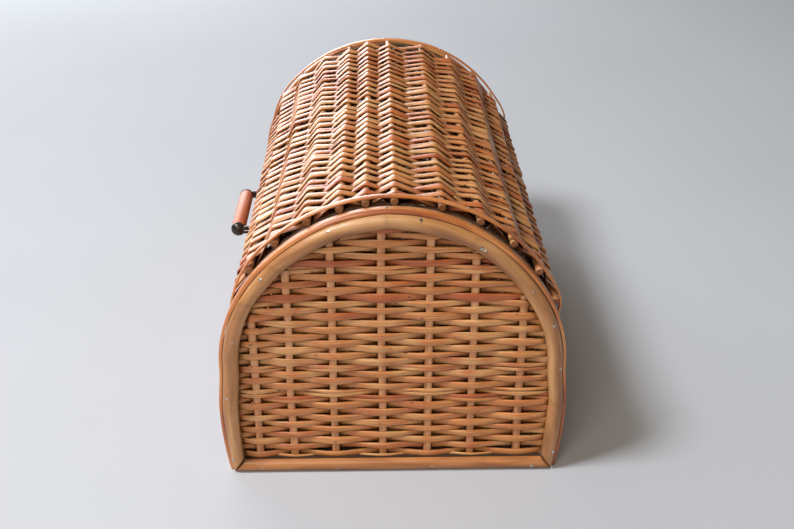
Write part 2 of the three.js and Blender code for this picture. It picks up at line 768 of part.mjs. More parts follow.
// The origin is under the middle of the whole box, handle included.
const handleReach = gripRadius - gripPlace;
box.position.y = (handleReach - bulgeWidth / 2) / 2;

export default box;
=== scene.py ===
"""Looks of a wicker bread box: split willow weave, cane edges, rods, nails and a wooden grip."""

import logging
import math
import random
from dataclasses import dataclass, field
from enum import Enum
from typing import Callable, Sequence

import bmesh
import bpy
import numpy as np
from bpy.types import Material, Node, NodeSocket, NodeTree, Object
from mathutils import Matrix, Vector


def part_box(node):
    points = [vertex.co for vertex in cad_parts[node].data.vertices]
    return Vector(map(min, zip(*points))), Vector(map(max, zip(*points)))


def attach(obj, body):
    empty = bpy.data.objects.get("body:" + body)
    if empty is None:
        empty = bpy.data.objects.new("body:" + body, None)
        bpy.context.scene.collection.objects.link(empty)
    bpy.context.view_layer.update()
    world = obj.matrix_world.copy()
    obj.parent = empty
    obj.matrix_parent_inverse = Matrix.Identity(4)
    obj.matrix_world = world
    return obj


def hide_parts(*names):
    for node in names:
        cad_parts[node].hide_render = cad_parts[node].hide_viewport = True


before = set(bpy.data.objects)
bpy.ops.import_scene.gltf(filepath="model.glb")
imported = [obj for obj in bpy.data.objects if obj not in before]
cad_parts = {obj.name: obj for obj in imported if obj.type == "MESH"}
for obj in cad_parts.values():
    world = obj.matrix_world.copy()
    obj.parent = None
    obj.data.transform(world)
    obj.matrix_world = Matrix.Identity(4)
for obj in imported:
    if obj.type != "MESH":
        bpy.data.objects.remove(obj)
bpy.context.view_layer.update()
LOG = logging.getLogger("bread_box")
MM = 0.001
# A line that looks for a piece's surface starts this far outside, in metres.
FAR = 0.2
ALONG_X = (0, math.pi / 2, 0)
SIDEWAYS = np.array([1.0, 0.0, 0.0])
UPWARD = np.array([0.0, 0.0, 1.0])


class Body(Enum):
    """The two bodies that pieces ride on."""

    BASKET = "basket"
    LID = "lid"


class End(Enum):
    """The two ends of the box, with the sign of X that each stands on."""

    RIGHT = 1
    LEFT = -1

    @property
    def word(self) -> str:
        """The end's name, as the nodes carry it."""
        return self.name.lower()


# Small helpers


def linear(colour: str) -> tuple[float, float, float, float]:
    """Turns an sRGB hex colour to linear.

    Args:
        colour: six hex digits after a hash mark.

    Returns:
        Red, green and blue in linear light, and an alpha of one.
    """
    parts = [int(colour[i:i + 2], 16) / 255 for i in (1, 3, 5)]
    light = [p / 12.92 if p <= 0.04045 else ((p + 0.055) / 1.055) ** 2.4 for p in parts]
    return (light[0], light[1], light[2], 1.0)


def feed(tree: NodeTree, node: Node, inputs: dict[str | int, object]) -> None:
    """Fills a node's sockets.

    Args:
        tree: the tree that it stands in.
        node: the node.
        inputs: for each socket, named or numbered, a value, an sRGB hex colour, an output to link,
            or a node whose first output is linked.
    """
    for name, value in inputs.items():
        if isinstance(value, Node):
            value = value.outputs[0]
        if isinstance(value, NodeSocket):
            tree.links.new(value, node.inputs[name])
        else:
            node.inputs[name].default_value = linear(value) if isinstance(value, str) else value


def add_node(
    tree: NodeTree, kind: str, inputs: dict[str | int, object] | None = None,
    stops: Sequence[tuple[float, str]] = (), **settings: object,
) -> Node:
    """Adds a shader node with its settings and links.

    Args:
        tree: the node tree it goes into.
        kind: the node's type, without the word ShaderNode before it.
        inputs: what its sockets get, as feed takes it.
        stops: places and sRGB colours for a colour ramp.
        settings: properties set on the node itself.

    Returns:
        The new node.
    """
    made = tree.nodes.new("ShaderNode" + kind)
    for name, value in settings.items():
        setattr(made, name, value)
    feed(tree, made, inputs or {})
    for index, (place, colour) in enumerate(stops):
        elements = made.color_ramp.elements
        element = elements[index] if index < 2 else elements.new(place)
        element.position = place
        element.color = linear(colour)
    return made


def blank_material(name: str) -> tuple[Material, NodeTree, Node]:
    """Makes an empty node material.

    Args:
        name: the material's name.

    Returns:
        The material, its tree and its surface shader.
    """
    material = bpy.data.materials.new(name)
    material.use_nodes = True
    tree = material.node_tree
    tree.nodes.clear()
    shader = add_node(tree, "BsdfPrincipled")
    add_node(tree, "OutputMaterial", {"Surface": shader})
    return material, tree, shader


def deselect() -> None:
    """Deselects every object."""
    bpy.ops.object.select_all(action="DESELECT")


def activate(piece: Object) -> None:
    """Selects one object alone and makes it the active one.

    Args:
        piece: the object.
    """
    deselect()
    piece.select_set(True)
    bpy.context.view_layer.objects.active = piece


def settle(piece: Object, name: str, angle: float = 35.0) -> Object:
    """Puts a finished piece's place into its mesh and shades it smooth by angle.

    Args:
        piece: the object.
        name: the name it gets.
        angle: edges sharper than this many degrees stay sharp.

    Returns:
        The same object.
    """
    activate(piece)
    apply_place()
    bpy.ops.object.shade_smooth_by_angle(angle=math.radians(angle))
    piece.name = piece.data.name = name
    return piece


def apply_place() -> None:
    """Puts the place, turn and size of what is selected into its mesh."""
    bpy.ops.object.transform_apply(location=True, rotation=True, scale=True)


def round_edges(piece: Object, name: str, width: float, segments: int) -> None:
    """Rounds the sharp edges of the active object.

    Args:
        piece: the object, which is the active one.
        name: what the rounding is called.
        width: how far it goes from the edge, in metres.
        segments: into how many steps it is divided.
    """
    bevel = piece.modifiers.new(name, "BEVEL")
    bevel.width = width
    bevel.segments = segments
    bevel.limit_method = "ANGLE"
    bpy.ops.object.modifier_apply(modifier=bevel.name)


def hand_over(
    piece: Object, body: Body, finish: Material, nodes: Sequence[str] = ()
) -> None:
    """Dresses a piece, hangs it on the body that it rides on, and hides the nodes that it replaces.

    Args:
        piece: the finished object.
        body: the body that it moves with.
        finish: its material.
        nodes: the CAD nodes that it replaces.
    """
    piece.data.materials.clear()
    piece.data.materials.append(finish)
    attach(piece, body.value)
    if nodes:
        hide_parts(*nodes)
    LOG.info("%s: %d faces on %s", piece.name, len(piece.data.polygons), body.value)


def dress_node(name: str, finish: Material) -> None:
    """Gives a CAD node whose shape stays a better material.

    Args:
        name: the node's name.
        finish: its material.
    """
    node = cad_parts[name]
    if not node.material_slots:
        node.data.materials.append(finish)
    for slot in node.material_slots:
        slot.material = finish
    LOG.info("%s keeps its shape", name)


# Curves across the box


def shift_back() -> float:
    """How far the box's middle line stands behind the origin, in metres."""
    low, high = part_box("rim_band_right")
    return (low.y + high.y) / 2


def distances(points: np.ndarray) -> np.ndarray:
    """The distance of each point along a line, from its start."""
    return np.concatenate([[0.0], np.cumsum(np.linalg.norm(np.diff(points, axis=0), axis=1))])


def directions(points: np.ndarray) -> np.ndarray:
    """The unit direction of a line at each of its points."""
    slope = np.gradient(points, axis=0)
    return slope / np.linalg.norm(slope, axis=1)[:, None]


def in_space(x: np.ndarray | float, flat: np.ndarray) -> np.ndarray:
    """Joins places along X with points in Y and Z."""
    return np.concatenate([np.broadcast_to(x, flat.shape[:-1])[..., None], flat], axis=-1)


SHIFT = shift_back()


class Profile:
    """A smooth line across the box, in Y and Z, measured along itself in metres."""

    def __init__(self, points: np.ndarray) -> None:
        """Keeps the points, their distances along the line and its direction at each.

        Args:
            points: the line's points as (Y, Z), in metres.
        """
        self.points = np.asarray(points, float)
        self.reach = distances(self.points)
        slope = np.gradient(self.points, self.reach, axis=0)
        self.slopes = slope / np.linalg.norm(slope, axis=1)[:, None]

    @property
    def length(self) -> float:
        """The line's whole length."""
        return float(self.reach[-1])

    def at(self, place: np.ndarray) -> np.ndarray:
        """Finds points at distances along the line.

        Args:
            place: the distances.

        Returns:
            The points as (Y, Z).
        """
        place = np.asarray(place, float)
        columns = [np.interp(place, self.reach, self.points[:, k]) for k in (0, 1)]
        return np.stack(columns, axis=-1)

    def outward(self, place: np.ndarray) -> np.ndarray:
        """Finds the outward direction at distances along the line.

        Args:
            place: the distances.

        Returns:
            Unit normals as (Y, Z).
        """
        place = np.asarray(place, float)
        along_y, along_z = (np.interp(place, self.reach, self.slopes[:, k]) for k in (0, 1))
        normal = np.stack([-along_z, along_y], axis=-1)
        return normal / np.linalg.norm(normal, axis=-1, keepdims=True)

    def beside(self, place: np.ndarray, distance: np.ndarray | float) -> np.ndarray:
        """Points beside the line, a distance on its outer side."""
        return self.at(place) + self.outward(place) * np.asarray(distance)[..., None]

    def nearest(self, y: float, z: float) -> float:
        """The distance along the line of the point nearest to a place."""
        gap = np.hypot(self.points[:, 0] - y, self.points[:, 1] - z)
        return float(self.reach[int(np.argmin(gap))])


@dataclass
class ArchShape:
    """The outline of an end frame, in millimetres, as the CAD part has it."""

    floor_width: float = 250.0
    bulge_width: float = 260.0
    bulge_height: float = 56.0
    spring_width: float = 255.0
    spring_height: float = 94.5
    crown_height: float = 218.0
    shoulder_flat: float = 2.6

    def side_half_width(self, height: float) -> float:
        """Half of the frame's width at a height below the spring line.

        Args:
            height: millimetres above the table.

        Returns:
            Millimetres from the middle line.
        """
        bulge = self.bulge_width / 2
        if height < self.bulge_height:
            below = 1 - height / self.bulge_height
            return bulge - (bulge - self.floor_width / 2) * below * below
        above = min((height - self.bulge_height) / (self.spring_height - self.bulge_height), 1.0)
        return bulge - (bulge - self.spring_width / 2) * above * above * (3 - 2 * above)

    def profile(self, start: float = 0.0, steps: int = 260) -> Profile:
        """The outline as a line from the front foot over the crown to the back foot.

        Args:
            start: the height of both feet, in millimetres.
            steps: points on each straight side and on each half of the arch.

        Returns:
            The line in metres, in the row's frame.
        """
        heights = np.linspace(start, self.spring_height, steps, endpoint=False)
        front = [(-self.side_half_width(z), z) for z in heights]
        arch = []
        rise = self.crown_height - self.spring_height
        for angle in np.linspace(0, math.pi, 2 * steps + 1):
            drawn = 1 - self.shoulder_flat / (self.spring_width / 2) * math.sin(2 * angle) ** 2
            y = -self.spring_width / 2 * math.cos(angle) * drawn
            arch.append((y, self.spring_height + rise * math.sin(angle) * drawn))
        back = [(-y, z) for y, z in reversed(front)]
        points = np.array(front + arch + back) * MM
        points[:, 0] += SHIFT
        return Profile(points)


@dataclass
class LidShape:
    """The rods and rails that carry the lid's weave, in millimetres, as the CAD part has them."""

    radius: float = 127.0
    centre_place: float = 0.8
    centre_height: float = 90.5
    front_tuck: float = 3.3
    waist: float = 3.5
    waist_spread: float = 35.0
    half_length: float = 191.5
    angles: tuple[float, ...] = (
        157.3, 144.4, 131.6, 118.7, 107.3, 98.8, 89.6, 74.5, 61.1, 47.5, 34.0, 21.4,
    )
    front_rail: tuple[float, float] = (-115.0, 110.0)
    rear_rail: tuple[float, float] = (112.5, 113.0)

    def rods(self) -> list[tuple[float, float]]:
        """The twelve rods at the ends of the lid.

        Returns:
            Their places and heights, in millimetres.
        """
        found = []
        for index, degrees in enumerate(self.angles):
            angle = math.radians(degrees)
            radius = self.radius - self.front_tuck if index == 0 else self.radius
            place = self.centre_place + radius * math.cos(angle)
            found.append((place, self.centre_height + radius * math.sin(angle)))
        return found

    def drawn_in(self, along: float, place: float, height: float) -> tuple[float, float]:
        """How far a point of the lid is drawn in towards its axis.

        Args:
            along: millimetres from the middle of the box's length.
            place: the point's Y before the shift, in millimetres.
            height: the point's Z, in millimetres.

        Returns:
            The shift in Y and Z, in millimetres.
        """
        def angle_of(y: float, z: float) -> float:
            """The angle of a point about the lid's axis."""
            return math.atan2(z - self.centre_height, y - self.centre_place)

        angle = angle_of(place, height)
        from_rail = min(angle - angle_of(*self.rear_rail), angle_of(*self.front_rail) - angle)
        share = min(max(from_rail / math.radians(self.waist_spread), 0.0), 1.0)
        share = share * share * (3 - 2 * share)
        amount = self.waist * share * (1 - min(abs(along) / self.half_length, 1.0) ** 2)
        return -math.cos(angle) * amount, -math.sin(angle) * amount

    def stations(self, along: float = 200.0) -> np.ndarray:
        """Rail, rods and rail in order from front to back.

        Args:
            along: the place along the box, in millimetres from its middle.

        Returns:
            Their middles as (Y, Z), in metres.
        """
        found = []
        for place, height in [self.front_rail, *self.rods(), self.rear_rail]:
            move = self.drawn_in(along, place, height)
            found.append((place + move[0], height + move[1]))
        points = np.array(found) * MM
        points[:, 0] += SHIFT
        return points

    def profile(self, per_span: int = 24) -> Profile:
        """A smooth line through the stations, at the ends of the lid.

        Args:
            per_span: points between two neighbouring stations.

        Returns:
            The line in metres.
        """
        knots = self.stations()
        knots = np.vstack([2 * knots[0] - knots[1], knots, 2 * knots[-1] - knots[-2]])
        line = []
        for a, b, c, d in zip(knots, knots[1:], knots[2:], knots[3:]):
            gaps = [math.sqrt(np.linalg.norm(q - p)) for p, q in ((a, b), (b, c), (c, d))]
            leave = (b - a) / gaps[0] - (c - a) / (gaps[0] + gaps[1]) + (c - b) / gaps[1]
            arrive = (c - b) / gaps[1] - (d - b) / (gaps[1] + gaps[2]) + (d - c) / gaps[2]
            leave, arrive = leave * gaps[1], arrive * gaps[1]
            for t in np.arange(per_span) / per_span:
                cubic = 2 * b - 2 * c + leave + arrive
                square = -3 * b + 3 * c - 2 * leave - arrive
                line.append(b + leave * t + square * t * t + cubic * t ** 3)
        line.append(knots[-2])
        return Profile(np.array(line))


# Woven strands

SPLIT_SECTION = np.array([
    (-0.50, -0.34), (-0.49, 0.05), (-0.38, 0.36), (-0.14, 0.50), (0.14, 0.50),
    (0.38, 0.36), (0.49, 0.05), (0.50, -0.34), (0.34, -0.50), (-0.34, -0.50),
])
STRIP_SECTION = np.array([
    (-0.50, -0.30), (-0.50, 0.26), (-0.44, 0.44), (-0.15, 0.50), (0.18, 0.50),
    (0.45, 0.42), (0.50, 0.24), (0.50, -0.32), (0.42, -0.50), (-0.42, -0.50),
])
# A cut end tapers: points at these distances from its tip, and this share of the width at the tip.
CUT_STEPS = np.array([0.0, 0.6, 1.6, 3.2, 5.5, 8.0]) * MM
CUT_TIP = 0.10


@dataclass
class MeshPile:
    """Collects swept strands, with a place along and across each, a tone, marks and edges."""

    points: list[np.ndarray] = field(default_factory=list)
    faces: list[tuple[int, ...]] = field(default_factory=list)
    places: list[np.ndarray] = field(default_factory=list)
    tones: list[np.ndarray] = field(default_factory=list)
    marks: list[np.ndarray] = field(default_factory=list)
    edges: list[np.ndarray] = field(default_factory=list)
    count: int = 0
    smooth_to: float = 48.0

    def add_rings(
        self, rings: np.ndarray, along: np.ndarray, across: np.ndarray, tone: float,
        mark: np.ndarray | None = None, turned_over: bool = False,
    ) -> None:
        """Adds one closed strand from rings of points.

        Args:
            rings: points as (ring, corner, three).
            along: the distance of each ring along the strand, in metres.
            across: the place of each corner across the strand, in metres, for each ring or for all.
            tone: the strand's own number from zero to one.
            mark: a number for each ring, for nodes, sawn ends and depth.
            turned_over: true where the rings run the other way about.
        """
        n, k = rings.shape[:2]
        self.points.append(rings.reshape(-1, 3))
        grid = self.count + np.arange(n * k).reshape(n, k)
        following = np.roll(grid, -1, axis=1)
        quads = np.stack([grid[:-1], following[:-1], following[1:], grid[1:]], axis=-1).reshape(-1, 4)
        turn = -1 if turned_over else 1
        for corners in (*quads[:, ::turn], grid[0][::-turn], grid[-1][::turn]):
            self.faces.append(tuple(corners.tolist()))
        place = np.stack([np.repeat(along, k), np.broadcast_to(across, (n, k)).reshape(-1)], axis=-1)
        aside = np.abs(place[:, 1])
        self.places.append(place)
        self.tones.append(np.full(n * k, tone))
        self.marks.append(np.repeat(np.zeros(n) if mark is None else mark, k))
        self.edges.append((aside / aside.max()).clip(0, 1))
        self.count += n * k

    def piece(self, name: str) -> Object:
        """Makes one object of all strands.

        Args:
            name: the object's name.

        Returns:
            The object, with its UV map and its attributes.
        """
        mesh = bpy.data.meshes.new(name)
        mesh.from_pydata(np.concatenate(self.points).tolist(), [], self.faces)
        places = np.concatenate(self.places)
        corners = np.zeros(len(mesh.loops), np.int32)
        mesh.loops.foreach_get("vertex_index", corners)
        uv = mesh.uv_layers.new(name="strand_place")
        uv.data.foreach_set("uv", places[corners].astype(np.float32).reshape(-1))
        for word, values in (("tone", self.tones), ("mark", self.marks), ("edge", self.edges)):
            layer = mesh.attributes.new(word, "FLOAT", "POINT")
            layer.data.foreach_set("value", np.concatenate(values).astype(np.float32))
        mesh.validate()
        piece = bpy.data.objects.new(name, mesh)
        bpy.context.scene.collection.objects.link(piece)
        return settle(piece, name, self.smooth_to)


def swept(
    name: str, rings: np.ndarray, along: np.ndarray, across: np.ndarray, tone: float,
    mark: np.ndarray | None = None, turned_over: bool = False,
) -> Object:
    """Makes one object of one closed strand.

    Args:
        name: the object's name.
        rings: points as (ring, corner, three).
        along: the distance of each ring along the strand, in metres.
        across: the place of each corner across the strand, in metres.
        tone: the strand's own number from zero to one.
        mark: a number for each ring, for nodes and sawn ends.
        turned_over: true where the rings run the other way about.

    Returns:
        The object.
    """
    pile = MeshPile()
    pile.add_rings(rings, along, across, tone, mark, turned_over)
    return pile.piece(name)


@dataclass
class Lacing:
    """How a weaver turns over and under what it passes."""

    trim: float = 3.2 * MM
    corner: tuple[float, ...] = (0.0, 0.25, 0.5, 0.75, 1.0)
    between: tuple[float, ...] = (0.33, 0.67)
    hold: float = 0.6

    def path(self, anchors: np.ndarray) -> tuple[np.ndarray, np.ndarray]:
        """Rounds a line of anchors at each corner.

        Args:
            anchors: corner points, two columns.

        Returns:
            Points along the strand, and for each how near it is to a corner, from 0 to 1.
        """
        points: list[np.ndarray] = [anchors[0]]
        crest: list[float] = [1.0]
        last = len(anchors) - 1
        leave = anchors[0]
        for index in range(1, last + 1):
            target = anchors[index]
            gap = np.linalg.norm(target - anchors[index - 1])
            cut = min(self.trim, 0.4 * gap)
            if index < last:
                cut = min(cut, 0.4 * np.linalg.norm(anchors[index + 1] - target))
                arrive = target + (anchors[index - 1] - target) * (cut / gap)
            else:
                arrive = target
            for share in self.between:
                points.append(leave + (arrive - leave) * share)
                crest.append(abs(2 * share - 1) * self.hold)
            if index == last:
                points.append(arrive)
                crest.append(1.0)
                break
            away = anchors[index + 1] - target
            depart = target + away * (cut / np.linalg.norm(away))
            for t in self.corner:
                points.append((1 - t) ** 2 * arrive + 2 * t * (1 - t) * target + t * t * depart)
                crest.append(1.0 - 0.25 * abs(2 * t - 1))
            leave = depart
        return np.array(points), np.array(crest)


@dataclass
class StrandPath:
    """The middle line of a strand across its rods, with how near each point is to a rod."""

    points: np.ndarray
    crest: np.ndarray
    pointed: np.ndarray | float = 1.0

    def reach(self) -> np.ndarray:
        """The distance of each point along the strand."""
        return distances(self.points)

    def cut(self, start: float, stop: float, sharp_start: bool, sharp_stop: bool) -> "StrandPath":
        """Cuts a stretch out of the strand, with a slanting cut at the ends that show.

        Args:
            start: where the stretch begins, in metres along the strand.
            stop: where it ends.
            sharp_start: whether its beginning is cut to a point.
            sharp_stop: whether its end is cut to a point.

        Returns:
            The stretch, with more points near its cut ends.
        """
        reach = self.reach()
        places = [reach[(reach > start) & (reach < stop)], np.array([start, stop])]
        places += [start + CUT_STEPS] if sharp_start else []
        places += [stop - CUT_STEPS] if sharp_stop else []
        place = np.unique(np.clip(np.round(np.concatenate(places), 6), start, stop))
        points = np.stack([np.interp(place, reach, column) for column in self.points.T], axis=-1)
        width = np.ones(len(place))
        for sharp, from_tip in ((sharp_start, place - start), (sharp_stop, stop - place)):
            if sharp:
                left = np.sqrt(np.clip(from_tip / CUT_STEPS[-1], 0, 1))
                width = np.minimum(width, CUT_TIP + (1 - CUT_TIP) * left)
        return StrandPath(points, np.interp(place, reach, self.crest), width)

    def spliced(self, place: float, behind: float) -> list["StrandPath"]:
        """Ends the strand at a place on the outer side and starts the next one behind it.

        Args:
            place: where the first strand's point lies, in metres along the strand.
            behind: how far the second strand's start lies under it, in metres.

        Returns:
            The two strands.
        """
        overlap, slope, lifted = 16 * MM, 26 * MM, 0.4
        first = self.cut(0.0, place, False, True)
        second = self.cut(max(place - overlap, 0.0), float(self.reach()[-1]), True, False)
        under = np.clip(1 - second.reach() / slope, 0, 1)
        over = np.clip(1 - (place - first.reach()) / overlap, 0, 1)
        second.points = second.points - np.array([behind, 0.0]) * under[:, None]
        first.points = first.points + np.array([lifted * behind, 0.0]) * over[:, None]
        return [first, second]


@dataclass
class Weaver:
    """One split willow strand: its width outside a rod, between rods and inside, and its section."""

    wide: float | np.ndarray
    narrow: float | np.ndarray
    inside: float
    thick: float
    section: np.ndarray

    def rings(
        self, line: np.ndarray, normal: np.ndarray, across: np.ndarray, crest: np.ndarray,
        roll: np.ndarray, pointed: np.ndarray | float = 1.0, sunk: np.ndarray | float = 0.0,
    ) -> tuple[np.ndarray, np.ndarray, np.ndarray]:
        """Carries the section along a line.

        Args:
            line: points in space.
            normal: outward direction at each point.
            across: the direction of the strand's width, the same all along.
            crest: how near each point is to a rod, from 0 to 1.
            roll: how far the section is turned at each point, in radians.
            pointed: the share of the width that a cut end leaves at each point.
            sunk: how far inside the rods each point lies, from 0 to 1.

        Returns:
            The rings, the distance of each along the strand, and the places across.
        """
        full = self.wide + (self.inside - self.wide) * np.clip(2 * np.asarray(sunk) - 1, 0, 1)
        width = (self.narrow + (full - self.narrow) * crest) * pointed
        # Pressed a little thinner over a rod, and thinned out where it is cut.
        thick = self.thick * (1.06 - 0.10 * crest) * (0.4 + 0.6 * np.asarray(pointed))
        b = self.section[None, :, 0] * width[:, None]
        n = self.section[None, :, 1] * thick[:, None]
        cos, sin = np.cos(roll)[:, None], np.sin(roll)[:, None]
        sideways, out = b * cos - n * sin, b * sin + n * cos
        rings = line[:, None, :] + out[..., None] * normal[:, None, :] + sideways[..., None] * across
        return rings, distances(line), b


@dataclass(frozen=True)
class Variety:
    """How unlike the strands of one weave are: widths as shares of a row's, thickness in millimetres."""

    wide: tuple[float, float]
    narrow: tuple[float, float]
    thick: tuple[float, float]
    inside: float = 1.7

    def pick(
        self, chance: random.Random, width: float, section: np.ndarray, pull: np.ndarray | float = 1.0
    ) -> Weaver:
        """Picks one strand.

        Args:
            chance: the seeded source.
            width: the row's width, or the strand's share of it.
            section: the outline of the strand's section, one wide and one thick.
            pull: how much wider it is at each point, for how tightly it was drawn there.

        Returns:
            The strand.
        """
        wide = width * chance.uniform(*self.wide) * pull
        narrow = width * chance.uniform(*self.narrow) * pull
        return Weaver(wide, narrow, width * self.inside, chance.uniform(*self.thick) * MM, section)


def flow(chance: random.Random, count: int) -> Callable[[np.ndarray], np.ndarray]:
    """A smooth wandering number along a strand.

    Args:
        chance: the seeded source of its waves.
        count: how many waves it is made of.

    Returns:
        A function of distance in metres that stays about within -1 and 1.
    """
    waves = []
    for _ in range(count):
        waves.append((chance.uniform(12, 60), chance.uniform(0, 2 * math.pi), chance.uniform(0.4, 1)))
    total = sum(wave[2] for wave in waves)

    def value(place: np.ndarray) -> np.ndarray:
        """The number at each distance."""
        return sum(a * np.sin(f * place + p) for f, p, a in waves) / total

    return value


def uneven_pull(chance: random.Random, reach: np.ndarray, step: float, spread: float) -> np.ndarray:
    """A number that changes from one crossing of a strand to the next.

    Args:
        chance: the seeded source.
        reach: the distance of each point along the strand.
        step: how far apart the changes lie, in metres.
        spread: the largest number.

    Returns:
        A number between -spread and spread for each point.
    """
    places = np.arange(0.0, float(reach[-1]) + step, step)
    return np.interp(reach, places, [chance.uniform(-spread, spread) for _ in places])


def uneven_rows(chance: random.Random, low: float, high: float, count: int, spread: float) -> np.ndarray:
    """Middle places of rows that fill a length, each a little wider or narrower than the next.

    Args:
        chance: the seeded source.
        low: where the first row begins.
        high: where the last row ends.
        count: how many rows.
        spread: the largest change of a row's width, as a share.

    Returns:
        One row per line: its middle and its width.
    """
    widths = np.array([1 + chance.uniform(-spread, spread) for _ in range(count)])
    widths *= (high - low) / widths.sum()
    edges = low + np.concatenate([[0.0], np.cumsum(widths)])
    return np.stack([(edges[:-1] + edges[1:]) / 2, widths], axis=-1)


# Finishes

Source = Node | NodeSocket


def strand_surface(tree: NodeTree) -> tuple[Node, NodeSocket]:
    """Finds the place on a strand, moved by the strand's tone so that no two look the same.

    Args:
        tree: the tree that the nodes go into.

    Returns:
        The place along and across the strand, in metres, and the tone.
    """
    tone = add_node(tree, "Attribute", attribute_name="tone").outputs["Fac"]
    place = add_node(tree, "UVMap", uv_map="strand_place")
    shift = add_node(tree, "CombineXYZ", {"Z": tone})
    return add_node(tree, "VectorMath", {0: place, 1: shift}, operation="ADD"), tone


def drawn_out(
    tree: NodeTree, place: Source, stretch: tuple[float, float, float], detail: float,
    roughness: float = 0.5,
) -> Node:
    """Makes noise that is stretched along a surface, as fibre, grain and blotches are.

    Args:
        tree: the tree it goes into.
        place: the place on the surface.
        stretch: how often it changes in a metre along each axis.
        detail: how many finer layers it has.
        roughness: how strong those layers are.

    Returns:
        The noise.
    """
    long = add_node(tree, "VectorMath", {0: place, 1: stretch}, operation="MULTIPLY")
    inputs = {"Vector": long, "Scale": 1.0, "Detail": detail, "Roughness": roughness}
    return add_node(tree, "TexNoise", inputs)


def laid_over(
    tree: NodeTree, under: Source, colour: str, steer: Source, reach: tuple[float, float],
    share: tuple[float, float],
) -> Node:
    """Lays a colour over another, more or less of it as a number changes.

    Args:
        tree: the tree it goes into.
        under: the colour below.
        colour: the sRGB hex colour on top.
        steer: the number that steers it.
        reach: the two numbers between which the share changes.
        share: the top colour's share at each of them.

    Returns:
        The mixed colour.
    """
    inputs = {"From Min": reach[0], "From Max": reach[1], "To Min": share[0], "To Max": share[1]}
    much = add_node(tree, "MapRange", {"Value": steer, **inputs})
    return add_node(tree, "MixRGB", {"Fac": much, "Color1": under, "Color2": colour})


def wavering(
    tree: NodeTree, shader: Node, scale: float, detail: float,
    stops: Sequence[tuple[float, str]], rough: tuple[float, float],
) -> None:
    """Makes colour and gloss waver together over a piece.

    Args:
        tree: the material's tree.
        shader: its surface shader.
        scale: how many changes there are in a metre.
        detail: how many finer layers they have.
        stops: places and sRGB colours.
        rough: the lowest and the highest roughness.
    """
    place = add_node(tree, "TexCoord").outputs["Object"]
    cloud = add_node(tree, "TexNoise", {"Vector": place, "Scale": scale, "Detail": detail})
    spread = {"From Min": 0.3, "From Max": 0.7, "To Min": rough[0], "To Max": rough[1]}
    feed(tree, shader, {
        "Base Color": add_node(tree, "ValToRGB", {"Fac": cloud}, stops=stops),
        "Roughness": add_node(tree, "MapRange", {"Value": cloud, **spread}),
    })


